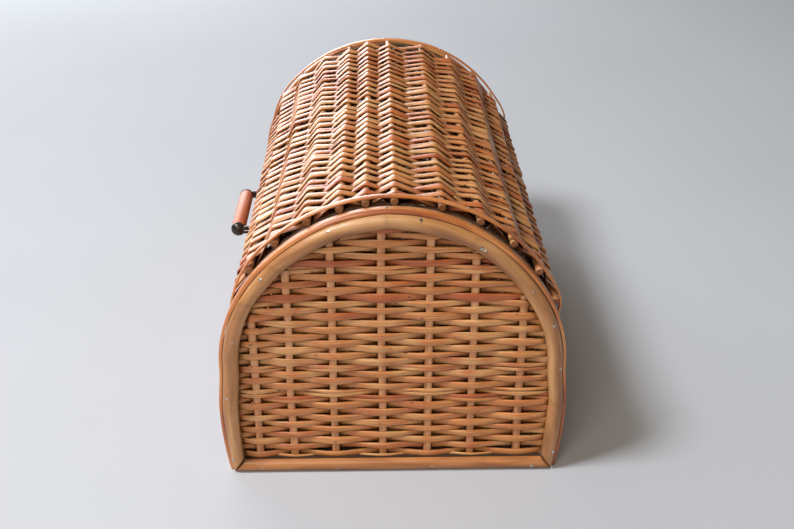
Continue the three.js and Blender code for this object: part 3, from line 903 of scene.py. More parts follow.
@dataclass(frozen=True)
class SplitWillow:
    """Willow rods split lengthwise, woven damp and varnished thinly: each strand its own tan."""

    name: str = "split_willow"
    tones: tuple[tuple[float, str], ...] = (
        (0.0, "#B85C28"), (0.98, "#E2A766"), (0.16, "#D07C3E"), (0.34, "#DC9857"), (0.5, "#C87642"),
        (0.66, "#E6B070"), (0.82, "#D68848"),
    )
    dark: str = "#7A3C18"
    scar: str = "#4E2114"
    # A dark painted shade for the strand's edges.
    edge: str = "#3C1A0A"
    # A brown painted shade for what lies inside the rods.
    inner: str = "#4E2610"
    # A near-black painted shade for crevices, with how far and how strongly it reaches.
    crevice_shade: str = "#140803"
    crevice_depth: float = 15.0 * MM
    crevice_shut: float = 0.24
    crevice_clear: float = 0.66
    # The largest share of that painted shade inside the rods.
    inner_shade: float = 0.35
    knot_rarity: float = 0.72
    roughness: float = 0.42
    varnish: float = 0.5
    varnish_roughness: float = 0.34
    gloss: float = 0.45

    def material(self) -> Material:
        """Builds the material: tan strands with lengthwise fibre, slow blotches and small knots."""
        material, tree, shader = blank_material(self.name)
        place, tone = strand_surface(tree)
        # Fibre: 25 mm along the strand and 0.4 mm across. Blotches: 36 mm along it and 17 mm across.
        fibre = drawn_out(tree, place, (40.0, 2300.0, 90.0), 3.0, 0.6)
        blotch = drawn_out(tree, place, (28.0, 60.0, 70.0), 2.0)
        pick = add_node(tree, "Math", {0: blotch, 1: 0.9, 2: tone}, operation="MULTIPLY_ADD")
        centred = add_node(tree, "Math", {0: pick, 1: 0.45}, operation="SUBTRACT")
        look = add_node(tree, "ValToRGB", {"Fac": centred}, stops=self.tones)
        look = laid_over(tree, look, self.dark, fibre, (0.36, 0.62), (0.6, 0.0))
        look = self.knotted(tree, place, look)
        # Painted shade: the strand's edges, where it meets its neighbours, are dark over the last third of a
        # millimetre.
        edge = add_node(tree, "Attribute", attribute_name="edge").outputs["Fac"]
        look = laid_over(tree, look, self.edge, edge, (0.78, 1.0), (0.0, 0.9))
        # Painted shade: what lies inside the rods is browner the deeper it lies.
        depth = add_node(tree, "Attribute", attribute_name="mark").outputs["Fac"]
        look = laid_over(tree, look, self.inner, depth, (0.35, 0.95), (0.0, self.inner_shade))
        # Painted shade: strands turn near black where they lie within a few millimetres of each other.
        open_share = add_node(
            tree, "AmbientOcclusion", {"Distance": self.crevice_depth}, samples=6, only_local=False
        ).outputs["AO"]
        crevice_shade = (self.crevice_shut, self.crevice_clear)
        look = laid_over(tree, look, self.crevice_shade, open_share, crevice_shade, (0.97, 0.0))
        # Varnish and gloss are turned down there too, so the painted shade keeps no highlight.
        gloss_outside_shade = add_node(tree, "MapRange", {"Value": open_share, "From Min": 0.40, "From Max": 0.85})
        feed(tree, shader, {
            "Base Color": look,
            "Normal": add_node(tree, "Bump", {"Height": fibre, "Strength": 0.55, "Distance": 0.18 * MM}),
            "Roughness": self.roughness,
            "Coat Roughness": self.varnish_roughness,
            "Coat Weight": add_node(tree, "Math", {0: gloss_outside_shade, 1: self.varnish}, operation="MULTIPLY"),
            "Specular IOR Level": add_node(tree, "Math", {0: gloss_outside_shade, 1: self.gloss}, operation="MULTIPLY"),
        })
        return material

    def knotted(self, tree: NodeTree, place: Source, under: Source) -> Node:
        """Adds dark knots, about one each 40 mm of strand and a millimetre wide.

        Args:
            tree: the tree it goes into.
            place: the place on the strand.
            under: the colour without knots.

        Returns:
            The colour with them.
        """
        cells = add_node(tree, "VectorMath", {0: place, 1: (90.0, 190.0, 500.0)}, operation="MULTIPLY")
        knots = add_node(
            tree, "TexVoronoi", {"Vector": cells, "Scale": 1.0, "Randomness": 1.0}, feature="F1"
        )
        parts = add_node(tree, "SeparateColor", {"Color": knots.outputs["Color"]})
        rare = add_node(tree, "Math", {0: parts, 1: self.knot_rarity}, operation="GREATER_THAN")
        near = add_node(tree, "MapRange", {
            "Value": knots.outputs["Distance"], "From Min": 0.07, "From Max": 0.17, "To Min": 0.8,
            "To Max": 0.0,
        })
        spot = add_node(tree, "Math", {0: near, 1: rare}, operation="MULTIPLY")
        return add_node(tree, "MixRGB", {"Fac": spot, "Color1": under, "Color2": self.scar})


@dataclass(frozen=True)
class StripFinish:
    """Peeled cane or a peeled stick, bent damp: satin, with long fibre and a dark ring at nodes."""

    name: str
    light: str
    body: str
    deep: str
    ring: str
    roughness: float = 0.42
    fibre: float = 1700.0
    strength: float = 0.4
    varnish: float = 0.5

    def material(self) -> Material:
        """Builds the material from the piece's own place along and across, and its node marks.

        Returns:
            Fibre about half a millimetre wide over blotches of a few centimetres.
        """
        material, tree, shader = blank_material(self.name)
        place, _ = strand_surface(tree)
        fibre = drawn_out(tree, place, (22.0, self.fibre, 60.0), 4.0, 0.6)
        blotch = drawn_out(tree, place, (16.0, 130.0, 50.0), 3.0)
        stops = ((0.33, self.deep), (0.67, self.light), (0.5, self.body))
        look = add_node(tree, "ValToRGB", {"Fac": blotch}, stops=stops)
        look = laid_over(tree, look, self.deep, fibre, (0.35, 0.65), (self.strength, 0.0))
        mark = add_node(tree, "Attribute", attribute_name="mark").outputs["Fac"]
        feed(tree, shader, {
            "Base Color": add_node(tree, "MixRGB", {"Fac": mark, "Color1": look, "Color2": self.ring}),
            "Normal": add_node(tree, "Bump", {"Height": fibre, "Strength": 0.4, "Distance": 0.15 * MM}),
            "Roughness": self.roughness,
            "Coat Weight": self.varnish,
            "Coat Roughness": 0.25,
        })
        return material


@dataclass(frozen=True)
class RoughStick:
    """A stick shaved on one side and left grey and hairy, as the hoops under the cane are."""

    name: str = "rough_ash_stick"
    light: str = "#86694C"
    deep: str = "#4E3826"

    def material(self) -> Material:
        """Builds the material from object coordinates, because it goes on CAD nodes.

        Returns:
            A dull grey-brown wood with grit about a millimetre wide.
        """
        material, tree, shader = blank_material(self.name)
        place = add_node(tree, "TexCoord").outputs["Object"]
        grit = add_node(
            tree, "TexNoise", {"Vector": place, "Scale": 420.0, "Detail": 5.0, "Roughness": 0.7}
        )
        slow = add_node(tree, "TexNoise", {"Vector": place, "Scale": 45.0, "Detail": 2.0})
        both = add_node(tree, "Math", {0: grit, 1: slow}, operation="ADD")
        half = add_node(tree, "Math", {0: both, 1: 0.5}, operation="MULTIPLY")
        stops = ((0.35, self.deep), (0.62, self.light))
        feed(tree, shader, {
            "Base Color": add_node(tree, "ValToRGB", {"Fac": half}, stops=stops),
            "Normal": add_node(tree, "Bump", {"Height": grit, "Strength": 0.7, "Distance": 0.4 * MM}),
            "Roughness": 0.8,
        })
        return material


@dataclass(frozen=True)
class StainedGrip:
    """A turned beech grip with an orange stain under clear varnish: warm and half glossy."""

    name: str = "stained_beech"
    light: str = "#C67040"
    deep: str = "#A45028"

    def material(self) -> Material:
        """Builds the material.

        Returns:
            Straight grain lines about a millimetre apart along X, under a thin coat.
        """
        material, tree, shader = blank_material(self.name)
        grain = drawn_out(tree, add_node(tree, "TexCoord").outputs["Object"], (30.0, 900.0, 900.0), 4.0)
        stops = ((0.3, self.deep), (0.68, self.light))
        feed(tree, shader, {
            "Base Color": add_node(tree, "ValToRGB", {"Fac": grain}, stops=stops),
            "Normal": add_node(tree, "Bump", {"Height": grain, "Strength": 0.2, "Distance": 0.1 * MM}),
            "Roughness": 0.5,
            "Coat Weight": 0.2,
            "Coat Roughness": 0.5,
        })
        return material


@dataclass(frozen=True)
class BlackFoot:
    """Turned wood dipped in black lacquer: near black, with soft highlights and dust specks."""

    name: str = "black_lacquer"

    def material(self) -> Material:
        """Builds the material.

        Returns:
            A glossy near-black brown whose roughness wavers over a few millimetres.
        """
        material, tree, shader = blank_material(self.name)
        wavering(tree, shader, 260.0, 3.0, ((0.35, "#17100D"), (0.75, "#33241C")), (0.18, 0.34))
        return material


@dataclass(frozen=True)
class WireSteel:
    """Drawn steel nails, bright but dull: grey metal with fine scratches."""

    name: str = "drawn_steel"
    light: str = "#D6D4CF"
    deep: str = "#A9A7A2"

    def material(self) -> Material:
        """Builds the material.

        Returns:
            A grey metal whose roughness wavers with marks about a millimetre wide.
        """
        material, tree, shader = blank_material(self.name)
        wavering(tree, shader, 900.0, 2.0, ((0.3, self.deep), (0.7, self.light)), (0.22, 0.42))
        shader.inputs["Metallic"].default_value = 1.0
        return material


class Finishes:
    """Every finish of the box, each built once."""

    def __init__(self) -> None:
        """Builds the materials."""
        self.willow = SplitWillow().material()
        # The lid's strands get more painted shade in their crevices and inside the rods.
        self.lid_willow = SplitWillow(
            "split_willow_shaded", crevice_shut=0.34, crevice_clear=0.82, inner_shade=0.55
        ).material()
        self.face_cane = StripFinish(
            "half_round_cane", light="#CC9C68", body="#B67F4B", deep="#8E5E36", ring="#6E4826",
            fibre=1500.0, strength=0.42, varnish=0.35,
        ).material()
        self.sill_cane = StripFinish(
            "half_round_cane_sill", light="#C68850", body="#B4743E", deep="#8A532A", ring="#6A4024",
            roughness=0.46, varnish=0.25,
        ).material()
        self.rim_cane = StripFinish(
            "flat_cane", light="#DE9E60", body="#CE8142", deep="#984F22", ring="#74401F",
            fibre=2200.0, strength=0.5,
        ).material()
        self.rod = StripFinish(
            "peeled_willow_rod", light="#DDA874", body="#CB8D5B", deep="#A0643A", ring="#6B3B20",
            roughness=0.46, fibre=1500.0, strength=0.35,
        ).material()
        self.hoop = RoughStick().material()
        # The lid's hoops are the hoop's stick darkened as painted shade, for the dark gap under the lid's
        # cane.
        self.lid_hoop = RoughStick("shaded_ash_stick", light="#6E5238", deep="#3A2718").material()
        # The sill's stick is near black: painted shade for the thin dark line between the sill's cane and the
        # weave.
        self.sill_stick = RoughStick("shade_dark_stick", light="#3A2718", deep="#1E130B").material()
        self.grip = StainedGrip().material()
        self.foot = BlackFoot().material()
        self.steel = WireSteel().material()
        self.dull_steel = WireSteel("dull_steel", light="#8E8B85", deep="#5E5A54").material()


# Rods


@dataclass
class Rod:
    """A peeled round rod along X, with node rings and a slight wander."""

    name: str
    radius: float
    start: float
    end: float
    centre: Callable[[float], tuple[float, float]]
    seed: int
    sides: int = 16
    rings: int = 28
    wander: float = 0.25 * MM
    end_round: float = 0.18
    end_size: float = 0.86
    end_dark: float = 0.7

    def build(self) -> Object:
        """Makes the rod.

        Returns:
            The object, its ends a little rounded.
        """
        chance = random.Random(self.seed)
        sway, lift = flow(chance, 3), flow(chance, 3)
        step = math.copysign(self.end_round * self.radius, self.end - self.start)
        stations = np.linspace(self.start, self.end, self.rings)
        stations = np.concatenate([
            [self.start, self.start + step], stations[1:-1], [self.end - step, self.end],
        ])
        shrink = np.ones(len(stations))
        shrink[0] = shrink[-1] = self.end_size
        nodes = [chance.uniform(self.start, self.end) for _ in range(3)]
        angle = np.linspace(0, 2 * math.pi, self.sides, endpoint=False)
        middle = np.array([self.centre(x) for x in stations])
        middle[:, 0] += self.wander * sway(stations)
        middle[:, 1] += self.wander * lift(stations)
        # The sawn ends are darker than the peeled side, as end grain is, and darker still as painted shade
        # for the dark gap where the lid's rods end.
        mark = np.where(shrink < 1, self.end_dark, 0.0)
        radius = self.radius * shrink
        for node in nodes:
            radius = radius * (1 + 0.04 * np.exp(-((np.abs(stations - node) / (3 * MM)) ** 2)))
        ring = radius[:, None, None] * np.stack([np.cos(angle), np.sin(angle)], axis=-1)
        rings = in_space(stations[:, None], middle[:, None, :] + ring)
        across = self.radius * angle - self.radius * math.pi
        along = np.abs(stations - self.start)
        return swept(self.name, rings, along, across[None, :], chance.random(), mark)


# Sub-assemblies


@dataclass
class EndPanel:
    """The woven panel in one end frame: seven upright stakes and rows of split willow."""

    end: End
    finishes: Finishes
    arch: ArchShape = field(default_factory=ArchShape)
    inset: float = 12.75 * MM
    high: float = 205.2 * MM
    rows: int = 36
    reach: float = 2.55 * MM
    seat: float = 1.9 * MM
    stake_half_width: float = 3.0 * MM
    stake_half_depth: float = 1.85 * MM
    below_first: float = 1.2 * MM
    shortest: float = 16 * MM
    longest_whole: float = 140 * MM
    uneven: float = 0.10
    doubled: float = 0.2
    joined: float = 0.45
    variety: Variety = Variety((1.04, 1.20), (0.76, 0.96), (1.35, 1.6))
    seed: int = 11

    @property
    def stake_plane(self) -> float:
        """How far out along X the middle of the stakes stands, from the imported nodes."""
        low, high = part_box(f"end_stake_4_{self.end.word}")
        return abs(low.x + high.x) / 2

    @property
    def low(self) -> float:
        """The height of the panel's lower edge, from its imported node."""
        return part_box(f"end_weave_{self.end.word}")[0].z

    def outline(self) -> tuple[np.ndarray, np.ndarray, np.ndarray]:
        """The panel's outline.

        Returns:
            Heights up the panel and its front and back edge at each, in metres.
        """
        line = self.arch.profile(start=-5.0)
        place = np.linspace(0, line.length, 1200)
        edge = line.beside(place, -self.inset)
        half = len(edge) // 2
        heights = np.linspace(self.low - 3 * MM, edge[:, 1].max(), 400)
        front = np.interp(heights, edge[:half, 1], edge[:half, 0])
        back = np.interp(heights, edge[half:, 1][::-1], edge[half:, 0][::-1])
        return heights, front, back

    def stakes(self) -> list[float]:
        """Where the seven stakes stand, in metres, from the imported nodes."""
        boxes = [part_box(f"end_stake_{n}_{self.end.word}") for n in range(1, 8)]
        return [(low.y + high.y) / 2 for low, high in boxes]

    def row_path(
        self, chance: random.Random, number: int, low_y: float, high_y: float
    ) -> StrandPath | None:
        """The line of one row, in front of one stake and behind the next.

        Args:
            chance: the seeded source of its small errors.
            number: the row's number from the sill.
            low_y: where the row begins.
            high_y: where it ends.

        Returns:
            The line as (outward from the stakes, Y), or nothing where the row passes no stake.
        """
        passed = [(j, y) for j, y in enumerate(self.stakes()) if low_y + 4 * MM < y < high_y - 4 * MM]
        if not passed:
            return None
        sides = [1 if (number + j) % 2 == 0 else -1 for j, _ in passed]
        anchors = [(-0.15 * sides[0] * self.reach, low_y)]
        for side, (_, y) in zip(sides, passed):
            out = side * (self.reach + chance.uniform(-0.1, 0.15) * MM)
            anchors.append((out, y + chance.uniform(-0.8, 0.8) * MM))
        anchors.append((-0.15 * sides[-1] * self.reach, high_y))
        return StrandPath(*Lacing(trim=7.0 * MM).path(np.array(anchors)))

    def weave(self) -> Object:
        """Builds the rows of weavers: most are one strand, some two thin ones, some spliced.

        Returns:
            One object of all strands.
        """
        chance = random.Random(self.seed + self.end.value)
        edges = self.outline()
        heights, front, back = edges
        pile = MeshPile()
        rows = uneven_rows(chance, self.low, self.high, self.rows, self.uneven)
        rows[0, 0] -= self.seat
        # One more row closes the gap above the sill.
        rows = np.vstack([[self.low - self.below_first, 0.8 * rows[0, 1]], rows])
        for number, (middle, width) in enumerate(rows, start=-1):
            probe = min(middle + 0.2 * width, heights[-1])
            low_y, high_y = np.interp(probe, heights, front), np.interp(probe, heights, back)
            row = self.row_path(chance, number, low_y, high_y)
            if row is None or high_y - low_y < self.shortest:
                continue
            whole = float(row.reach()[-1])
            splice = chance.uniform(0.25, 0.75) * whole
            if chance.random() < self.doubled:
                strands = [(row, middle - 0.26 * width, 0.6), (row, middle + 0.26 * width, 0.56)]
            elif chance.random() < self.joined and whole > self.longest_whole and number > 0:
                strands = [(part, middle, 1.0) for part in row.spliced(splice, 0.9 * MM)]
            else:
                strands = [(row, middle, 1.0)]
            for path, height, share in strands:
                self.add_strand(pile, chance, path, height, width * share, edges)
        return pile.piece(f"end_panel_weave_{self.end.word}")

    def add_strand(
        self, pile: MeshPile, chance: random.Random, path: StrandPath, height: float, width: float,
        edges: tuple[np.ndarray, np.ndarray, np.ndarray],
    ) -> None:
        """Adds one strand of a row.

        Args:
            pile: what it is added to.
            chance: the seeded source of its width, colour and wander.
            path: its line.
            height: the height of its middle.
            width: the row's width, or the strand's share of it.
            edges: heights with the panel's front and back edge at each.
        """
        side = self.end.value
        heights, front, back = edges
        points, reach = path.points, path.reach()
        wander = flow(chance, 3)(points[:, 1]) * 0.55 * MM
        wander += uneven_pull(chance, reach, 34 * MM, 0.4 * MM)
        # The rows near the sill lie straight.
        wander *= np.clip((height - self.low) / (20 * MM), 0.2, 1.0)
        line = np.stack([side * (self.stake_plane + points[:, 0]), points[:, 1], height + wander], axis=-1)
        slope = directions(points)
        normal = np.stack([side * slope[:, 1], -slope[:, 0], np.zeros(len(points))], axis=-1)
        pull = 1 + uneven_pull(chance, reach, 30 * MM, 0.12)
        weaver = self.variety.pick(chance, width, SPLIT_SECTION, pull)
        if height < self.low + 5 * MM:
            weaver.narrow = weaver.wide
        roll = flow(chance, 2)(points[:, 1]) * 0.16
        sunk = np.clip(0.5 - points[:, 0] / (2 * self.reach), 0, 1)
        rings, along, across = weaver.rings(line, normal, UPWARD, path.crest, roll, path.pointed, sunk)
        z = rings[..., 2]
        rings[..., 1] = np.clip(rings[..., 1], np.interp(z, heights, front), np.interp(z, heights, back))
        pile.add_rings(rings, along + chance.uniform(0, 3), across, chance.random(), sunk, side > 0)

    def build(self) -> None:
        """Builds and hands over the weave and the stakes."""
        hand_over(
            self.weave(), Body.BASKET, self.finishes.willow, [f"end_weave_{self.end.word}"]
        )
        for number in range(1, 8):
            node = f"end_stake_{number}_{self.end.word}"
            stake = self.stake(number, *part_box(node))
            hand_over(stake, Body.BASKET, self.finishes.rod, [node])

    def stake(self, number: int, low: Vector, high: Vector) -> Object:
        """Makes one upright stake, a little oval and pressed flat by the weavers.

        Args:
            number: which stake, from the front.
            low: its node's lowest corner.
            high: its node's highest corner.

        Returns:
            The object.
        """
        chance = random.Random(self.seed * 31 + number + 9 * self.end.value)
        sway = flow(chance, 3)
        stations = np.concatenate([[low.z], np.linspace(low.z + 0.6 * MM, high.z, 24)])
        angle = np.linspace(0, 2 * math.pi, 16, endpoint=False)
        share = 1 + 0.05 * flow(chance, 3)(stations)
        share[0] *= 0.8
        squared = np.abs(np.cos(angle)) ** 0.7 * np.sign(np.cos(angle))
        x = (low.x + high.x) / 2 + self.stake_half_depth * share[:, None] * squared
        centre = (low.y + high.y) / 2 + 0.6 * MM * sway(stations)
        y = centre[:, None] + self.stake_half_width * share[:, None] * np.sin(angle)
        rings = np.stack([x, y, np.broadcast_to(stations[:, None], x.shape)], axis=-1)
        across = (angle - math.pi)[None, :] * self.stake_half_width
        return swept(f"stake_{number}_{self.end.word}", rings, stations, across, chance.random())


@dataclass
class EndFrame:
    """One horseshoe frame: stick hoop and sill, face canes, rim cane and hinge pin."""

    end: End
    finishes: Finishes
    arch: ArchShape = field(default_factory=ArchShape)
    face: float = 213.3 * MM
    cane_outer: float = 2.6 * MM
    cane_width: float = 10.4 * MM
    cane_rise: float = 4.7 * MM
    cane_round: float = 0.86
    swelling: float = 0.05
    node_dark: float = 0.28
    cane_nodes: tuple[tuple[float, float], ...] = (
        (-104.5, 147.5), (-83.5, 177.5), (-41.5, 205.0), (-4.3, 215.0), (56.3, 196.2), (122.0, 60.0),
    )
    sill_low: float = 0.3 * MM
    sill_high: float = 9.8 * MM
    rim_width: float = 9.0 * MM
    rim_thick: float = 2.3 * MM
    rings: int = 180
    kink: float = 1.5 * MM
    seed: int = 5

    def cane_half(self, inset: float, height: float) -> float:
        """Half the distance between two edges of the face arch, in metres.

        Args:
            inset: how far the edge lies inside the frame's outline.
            height: the height above the table.

        Returns:
            The distance from the middle line.
        """
        line = self.arch.profile(start=-8.0)
        edge = line.beside(np.linspace(0.0, 0.05, 300), -inset)
        return abs(float(np.interp(height, edge[:, 1], edge[:, 0])) - SHIFT)

    def mitre(self) -> tuple[float, float]:
        """Half widths at the feet's mitre: the arch's outer edge below and its inner edge above."""
        outer = self.cane_half(self.cane_outer, 0.0)
        return outer, self.cane_half(self.cane_outer + self.cane_width, self.sill_high)

    def face_arch(self) -> Object:
        """Builds the half-round cane round the arch, with a swelling and a dark line at its nodes.

        Returns:
            The object.
        """
        side = self.end.value
        chance = random.Random(self.seed + side)
        line = self.arch.profile()
        angle = np.linspace(0, math.pi, 15)
        half = self.cane_width / 2
        out = -self.cane_outer - half - half * np.cos(angle)
        rise = self.cane_rise * np.sin(angle) ** self.cane_round
        outer, inner = self.mitre()
        slant = self.sill_high / (outer - inner)
        starts = (-out - self.cane_outer) * slant + 0.25 * MM
        share = np.linspace(0, 1, self.rings)
        nodes = [line.nearest(y * MM + SHIFT, z * MM) for y, z in self.cane_nodes]
        s = starts[None, :] + (line.length - 2 * starts)[None, :] * share[:, None]
        mark = np.zeros(self.rings)
        swell = np.ones(self.rings)
        middle = s.mean(axis=1)
        for node in nodes:
            gap = (middle - node) / MM
            # It swells at the node and is a little thinner 6 mm beyond.
            swell += self.swelling * np.exp(-((gap / 3.5) ** 2)) - 0.02 * np.exp(-(((gap - 6) / 4.0) ** 2))
            mark = np.maximum(mark, self.node_dark * np.exp(-((gap / 1.1) ** 2)))
        # Between two nodes the cane bends a little, its inner edge more than its outer one.
        joints = np.concatenate([middle[:1], np.sort(nodes), middle[-1:]])
        number = np.clip(np.searchsorted(joints, middle, side="right") - 1, 0, len(joints) - 2)
        span = np.diff(joints)[number]
        part = (middle - joints[number]) / span
        bend = self.kink * np.minimum(span / (80 * MM), 1.0) * 4 * part * (1 - part)
        wave = flow(chance, 4)(middle) * 0.025 + 1
        centre = -self.cane_outer - half
        offset = centre + (out - centre)[None, :] * (swell * wave)[:, None]
        flat = line.beside(s, offset - bend[:, None] * (0.65 - 0.45 * (out - centre) / half)[None, :])
        height = rise[None, :] * (swell * (2 - wave))[:, None]
        rings = in_space(side * (self.face + height), flat)
        across = (out - centre)[None, :]
        return swept(f"face_cane_{self.end.word}", rings, middle, across, 0.3 + 0.2 * side, mark, side > 0)

    def face_sill(self) -> Object:
        """Builds the half-round cane along the sill, mitred into the arch's feet.

        Returns:
            The object.
        """
        side = self.end.value
        chance = random.Random(self.seed + 40 + side)
        angle = np.linspace(0, math.pi, 11)
        half = (self.sill_high - self.sill_low) / 2
        z = self.sill_low + half - half * np.cos(angle)
        rise = self.cane_rise * np.sin(angle) ** self.cane_round
        outer, inner = self.mitre()
        reach = outer - (outer - inner) * z / self.sill_high - 0.3 * MM
        share = np.linspace(-1, 1, 60)
        y = SHIFT + share[:, None] * reach[None, :]
        wave = flow(chance, 4)(share * 0.12) * 0.02 + 1
        x = side * (self.face + rise[None, :] * wave[:, None])
        rings = np.stack([x, y, np.broadcast_to(z, y.shape)], axis=-1)
        name, across = f"face_sill_cane_{self.end.word}", (z - z.mean())[None, :]
        return swept(name, rings, share * outer, across, 0.7 - 0.1 * side, turned_over=side < 0)

    def rim(self) -> Object:
        """Builds the flat cane that wraps the frame's outer edge.

        Returns:
            The object.
        """
        side = self.end.value
        chance = random.Random(self.seed + 70 + side)
        line = self.arch.profile(start=0.3)
        half, t = self.rim_width / 2, self.rim_thick
        section = np.array([
            (-t, -half), (-t * 0.25, -half), (-0.02 * t, -half * 0.88), (0, 0), (-0.02 * t, half * 0.88),
            (-t * 0.25, half), (-t, half),
        ])
        s = np.linspace(0, line.length, self.rings)
        wave = flow(chance, 4)(s)
        offset = section[:, 0][None, :] + np.zeros((len(s), 1)) + 0.12 * MM * wave[:, None]
        flat = line.beside(np.repeat(s[:, None], len(section), axis=1), offset)
        edge = self.face - 0.3 * MM - half
        x = side * (edge + section[:, 1][None, :] * (1 + 0.03 * flow(chance, 3)(s))[:, None])
        name, across = f"rim_cane_{self.end.word}", section[:, 1][None, :]
        return swept(name, in_space(x, flat), s, across, 0.4 + 0.3 * side, turned_over=side < 0)

    def build(self) -> None:
        """Builds and hands over the canes, and dresses what stays."""
        word, looks = self.end.word, self.finishes
        for piece, slot, finish, node in (
            (self.face_arch(), "face_cane", looks.face_cane, "face_arch"),
            (self.face_sill(), "face_cane", looks.sill_cane, "face_sill"),
            (self.rim(), "rim_cane", looks.rim_cane, "rim_band"),
        ):
            hand_over(piece, Body.BASKET, finish, [f"{node}_{word}"])
        dress_node(f"end_hoop_{word}", looks.hoop)
        dress_node(f"end_sill_{word}", looks.sill_stick)
        dress_node(f"hinge_pin_{word}", looks.dull_steel)


@dataclass
class LidShell:
    """The arched lid: twelve rods, two rails, end hoops and canes, and the weave round them."""

    finishes: Finishes
    shape: LidShape = field(default_factory=LidShape)
    rows: int = 58
    low: float = -187.5 * MM
    high: float = 191.4 * MM
    reach: float = 4.3 * MM
    rod_radius: float = 2.8 * MM
    front_rail_radius: float = 4.3 * MM
    rear_rail_radius: float = 5.0 * MM
    half_length: float = 197.5 * MM
    band_width: float = 5.0 * MM
    band_thick: float = 1.5 * MM
    rail_gap: float = 1.1 * MM
    overlap: float = 9 * MM
    uneven: float = 0.16
    doubled: float = 0.12
    joined: float = 0.5
    variety: Variety = Variety((0.98, 1.24), (0.72, 0.96), (1.5, 2.0))
    seed: int = 23

    def weave(self) -> Object:
        """Builds the weavers that run round the arch.

        Returns:
            One object of all strands.
        """
        chance = random.Random(self.seed)
        pile = MeshPile()
        lacing = Lacing(trim=1.7 * MM, corner=(0.0, 0.33, 0.67, 1.0), between=(0.22, 0.5, 0.78), hold=0.9)
        rows = uneven_rows(chance, self.low, self.high, self.rows, self.uneven)
        for number, (middle, width) in enumerate(rows):
            stations = self.shape.stations(middle / MM)
            line = Profile(stations)
            rails = {0: self.front_rail_radius, len(stations) - 1: self.rear_rail_radius}
            anchors = []
            for j, (point, normal) in enumerate(zip(stations, line.outward(line.reach))):
                out = 1 if (number + j) % 2 == 0 else -1
                if j in rails:
                    away = rails[j] + self.rail_gap
                else:
                    away = self.reach + chance.uniform(-0.4, 0.6) * MM
                anchors.append(point + normal * out * away)
            row = StrandPath(*lacing.path(np.array(anchors)))
            whole = float(row.reach()[-1])
            strands = [(row, 0.0, 1.0)]
            if chance.random() < self.doubled:
                strands = [(row, -0.25 * width, 0.58), (row, 0.25 * width, 0.58)]
            elif chance.random() < self.joined:
                place = chance.uniform(0.15, 0.85) * whole
                strands = [(row.cut(0.0, place, False, True), 0.0, 1.0),
                           (row.cut(place - self.overlap, whole, True, False), 0.22 * width, 1.0)]
            for path, aside, share in strands:
                self.add_strand(pile, chance, path, middle + aside, width * share)
        return pile.piece("lid_willow")

    def add_strand(
        self, pile: MeshPile, chance: random.Random, path: StrandPath, middle: float, width: float
    ) -> None:
        """Adds one flat strand of a row round the arch.

        Args:
            pile: what it is added to.
            chance: the seeded source of its width, colour and wander.
            path: its line as (Y, Z).
            middle: its place along the box.
            width: the row's width, or the strand's share of it.
        """
        points, reach = path.points, path.reach()
        sway = flow(chance, 3)(reach) * 0.7 * MM + 1.2 * MM * math.sin(middle * 40 + 1.0) * np.sin(reach * 18)
        sway += uneven_pull(chance, reach, 27 * MM, 1.05 * MM)
        # The rows near the lid's ends lie straight.
        sway *= min(1.0, min(abs(middle - self.low), abs(self.high - middle)) / (20 * MM))
        normal = in_space(0.0, directions(points)[:, ::-1] * (-1, 1))
        pull = 1 + uneven_pull(chance, reach, 24 * MM, 0.17)
        weaver = self.variety.pick(chance, width, STRIP_SECTION, pull)
        roll = flow(chance, 2)(reach) * 0.16
        sunk = self.sunk(points, middle)
        line = in_space(middle + sway, points)
        rings, along, across = weaver.rings(line, normal, SIDEWAYS, path.crest, roll, path.pointed, sunk)
        pile.add_rings(rings, along + chance.uniform(0, 3), across, chance.random(), sunk, turned_over=True)

    def sunk(self, points: np.ndarray, middle: float) -> np.ndarray:
        """How far inside the rods each point of a strand lies.

        Args:
            points: the strand's line as (Y, Z).
            middle: its place along the box.

        Returns:
            Numbers from 0, outside the rods, to 1, inside them.
        """
        centre = np.array([self.shape.centre_place * MM + SHIFT, self.shape.centre_height * MM])
        rods, here = self.shape.stations(middle / MM) - centre, points - centre
        turns = np.arctan2(rods[:, 1], rods[:, 0])[::-1]
        level = np.interp(np.arctan2(here[:, 1], here[:, 0]), turns, np.hypot(rods[:, 0], rods[:, 1])[::-1])
        return np.clip(0.5 + (level - np.hypot(here[:, 0], here[:, 1])) / (2 * self.reach), 0, 1)

    def rods(self) -> None:
        """Builds and hands over the twelve rods and the two rails."""
        for number, (place, height) in enumerate(self.shape.rods(), start=1):
            def centre(x: float, y: float = place, z: float = height) -> tuple[float, float]:
                """The rod's middle at a place along the box."""
                move = self.shape.drawn_in(x / MM, y, z)
                return (y + move[0]) * MM + SHIFT, (z + move[1]) * MM

            rod = Rod(
                f"rod_{number}", self.rod_radius, -self.half_length, self.half_length, centre,
                seed=self.seed + number, wander=0.15 * MM,
            )
            hand_over(rod.build(), Body.LID, self.finishes.rod, [f"lid_rod_{number}"])
        for name, (place, height), radius in (
            ("front_rail", self.shape.front_rail, self.front_rail_radius),
            ("rear_rail", self.shape.rear_rail, self.rear_rail_radius),
        ):
            middle = (place * MM + SHIFT, height * MM)
            rail = Rod(
                f"{name}_rod", radius, -self.half_length, self.half_length, lambda x, m=middle: m,
                seed=self.seed + int(height), sides=20, wander=0.05 * MM,
            )
            hand_over(rail.build(), Body.LID, self.finishes.rod, [f"lid_{name}"])

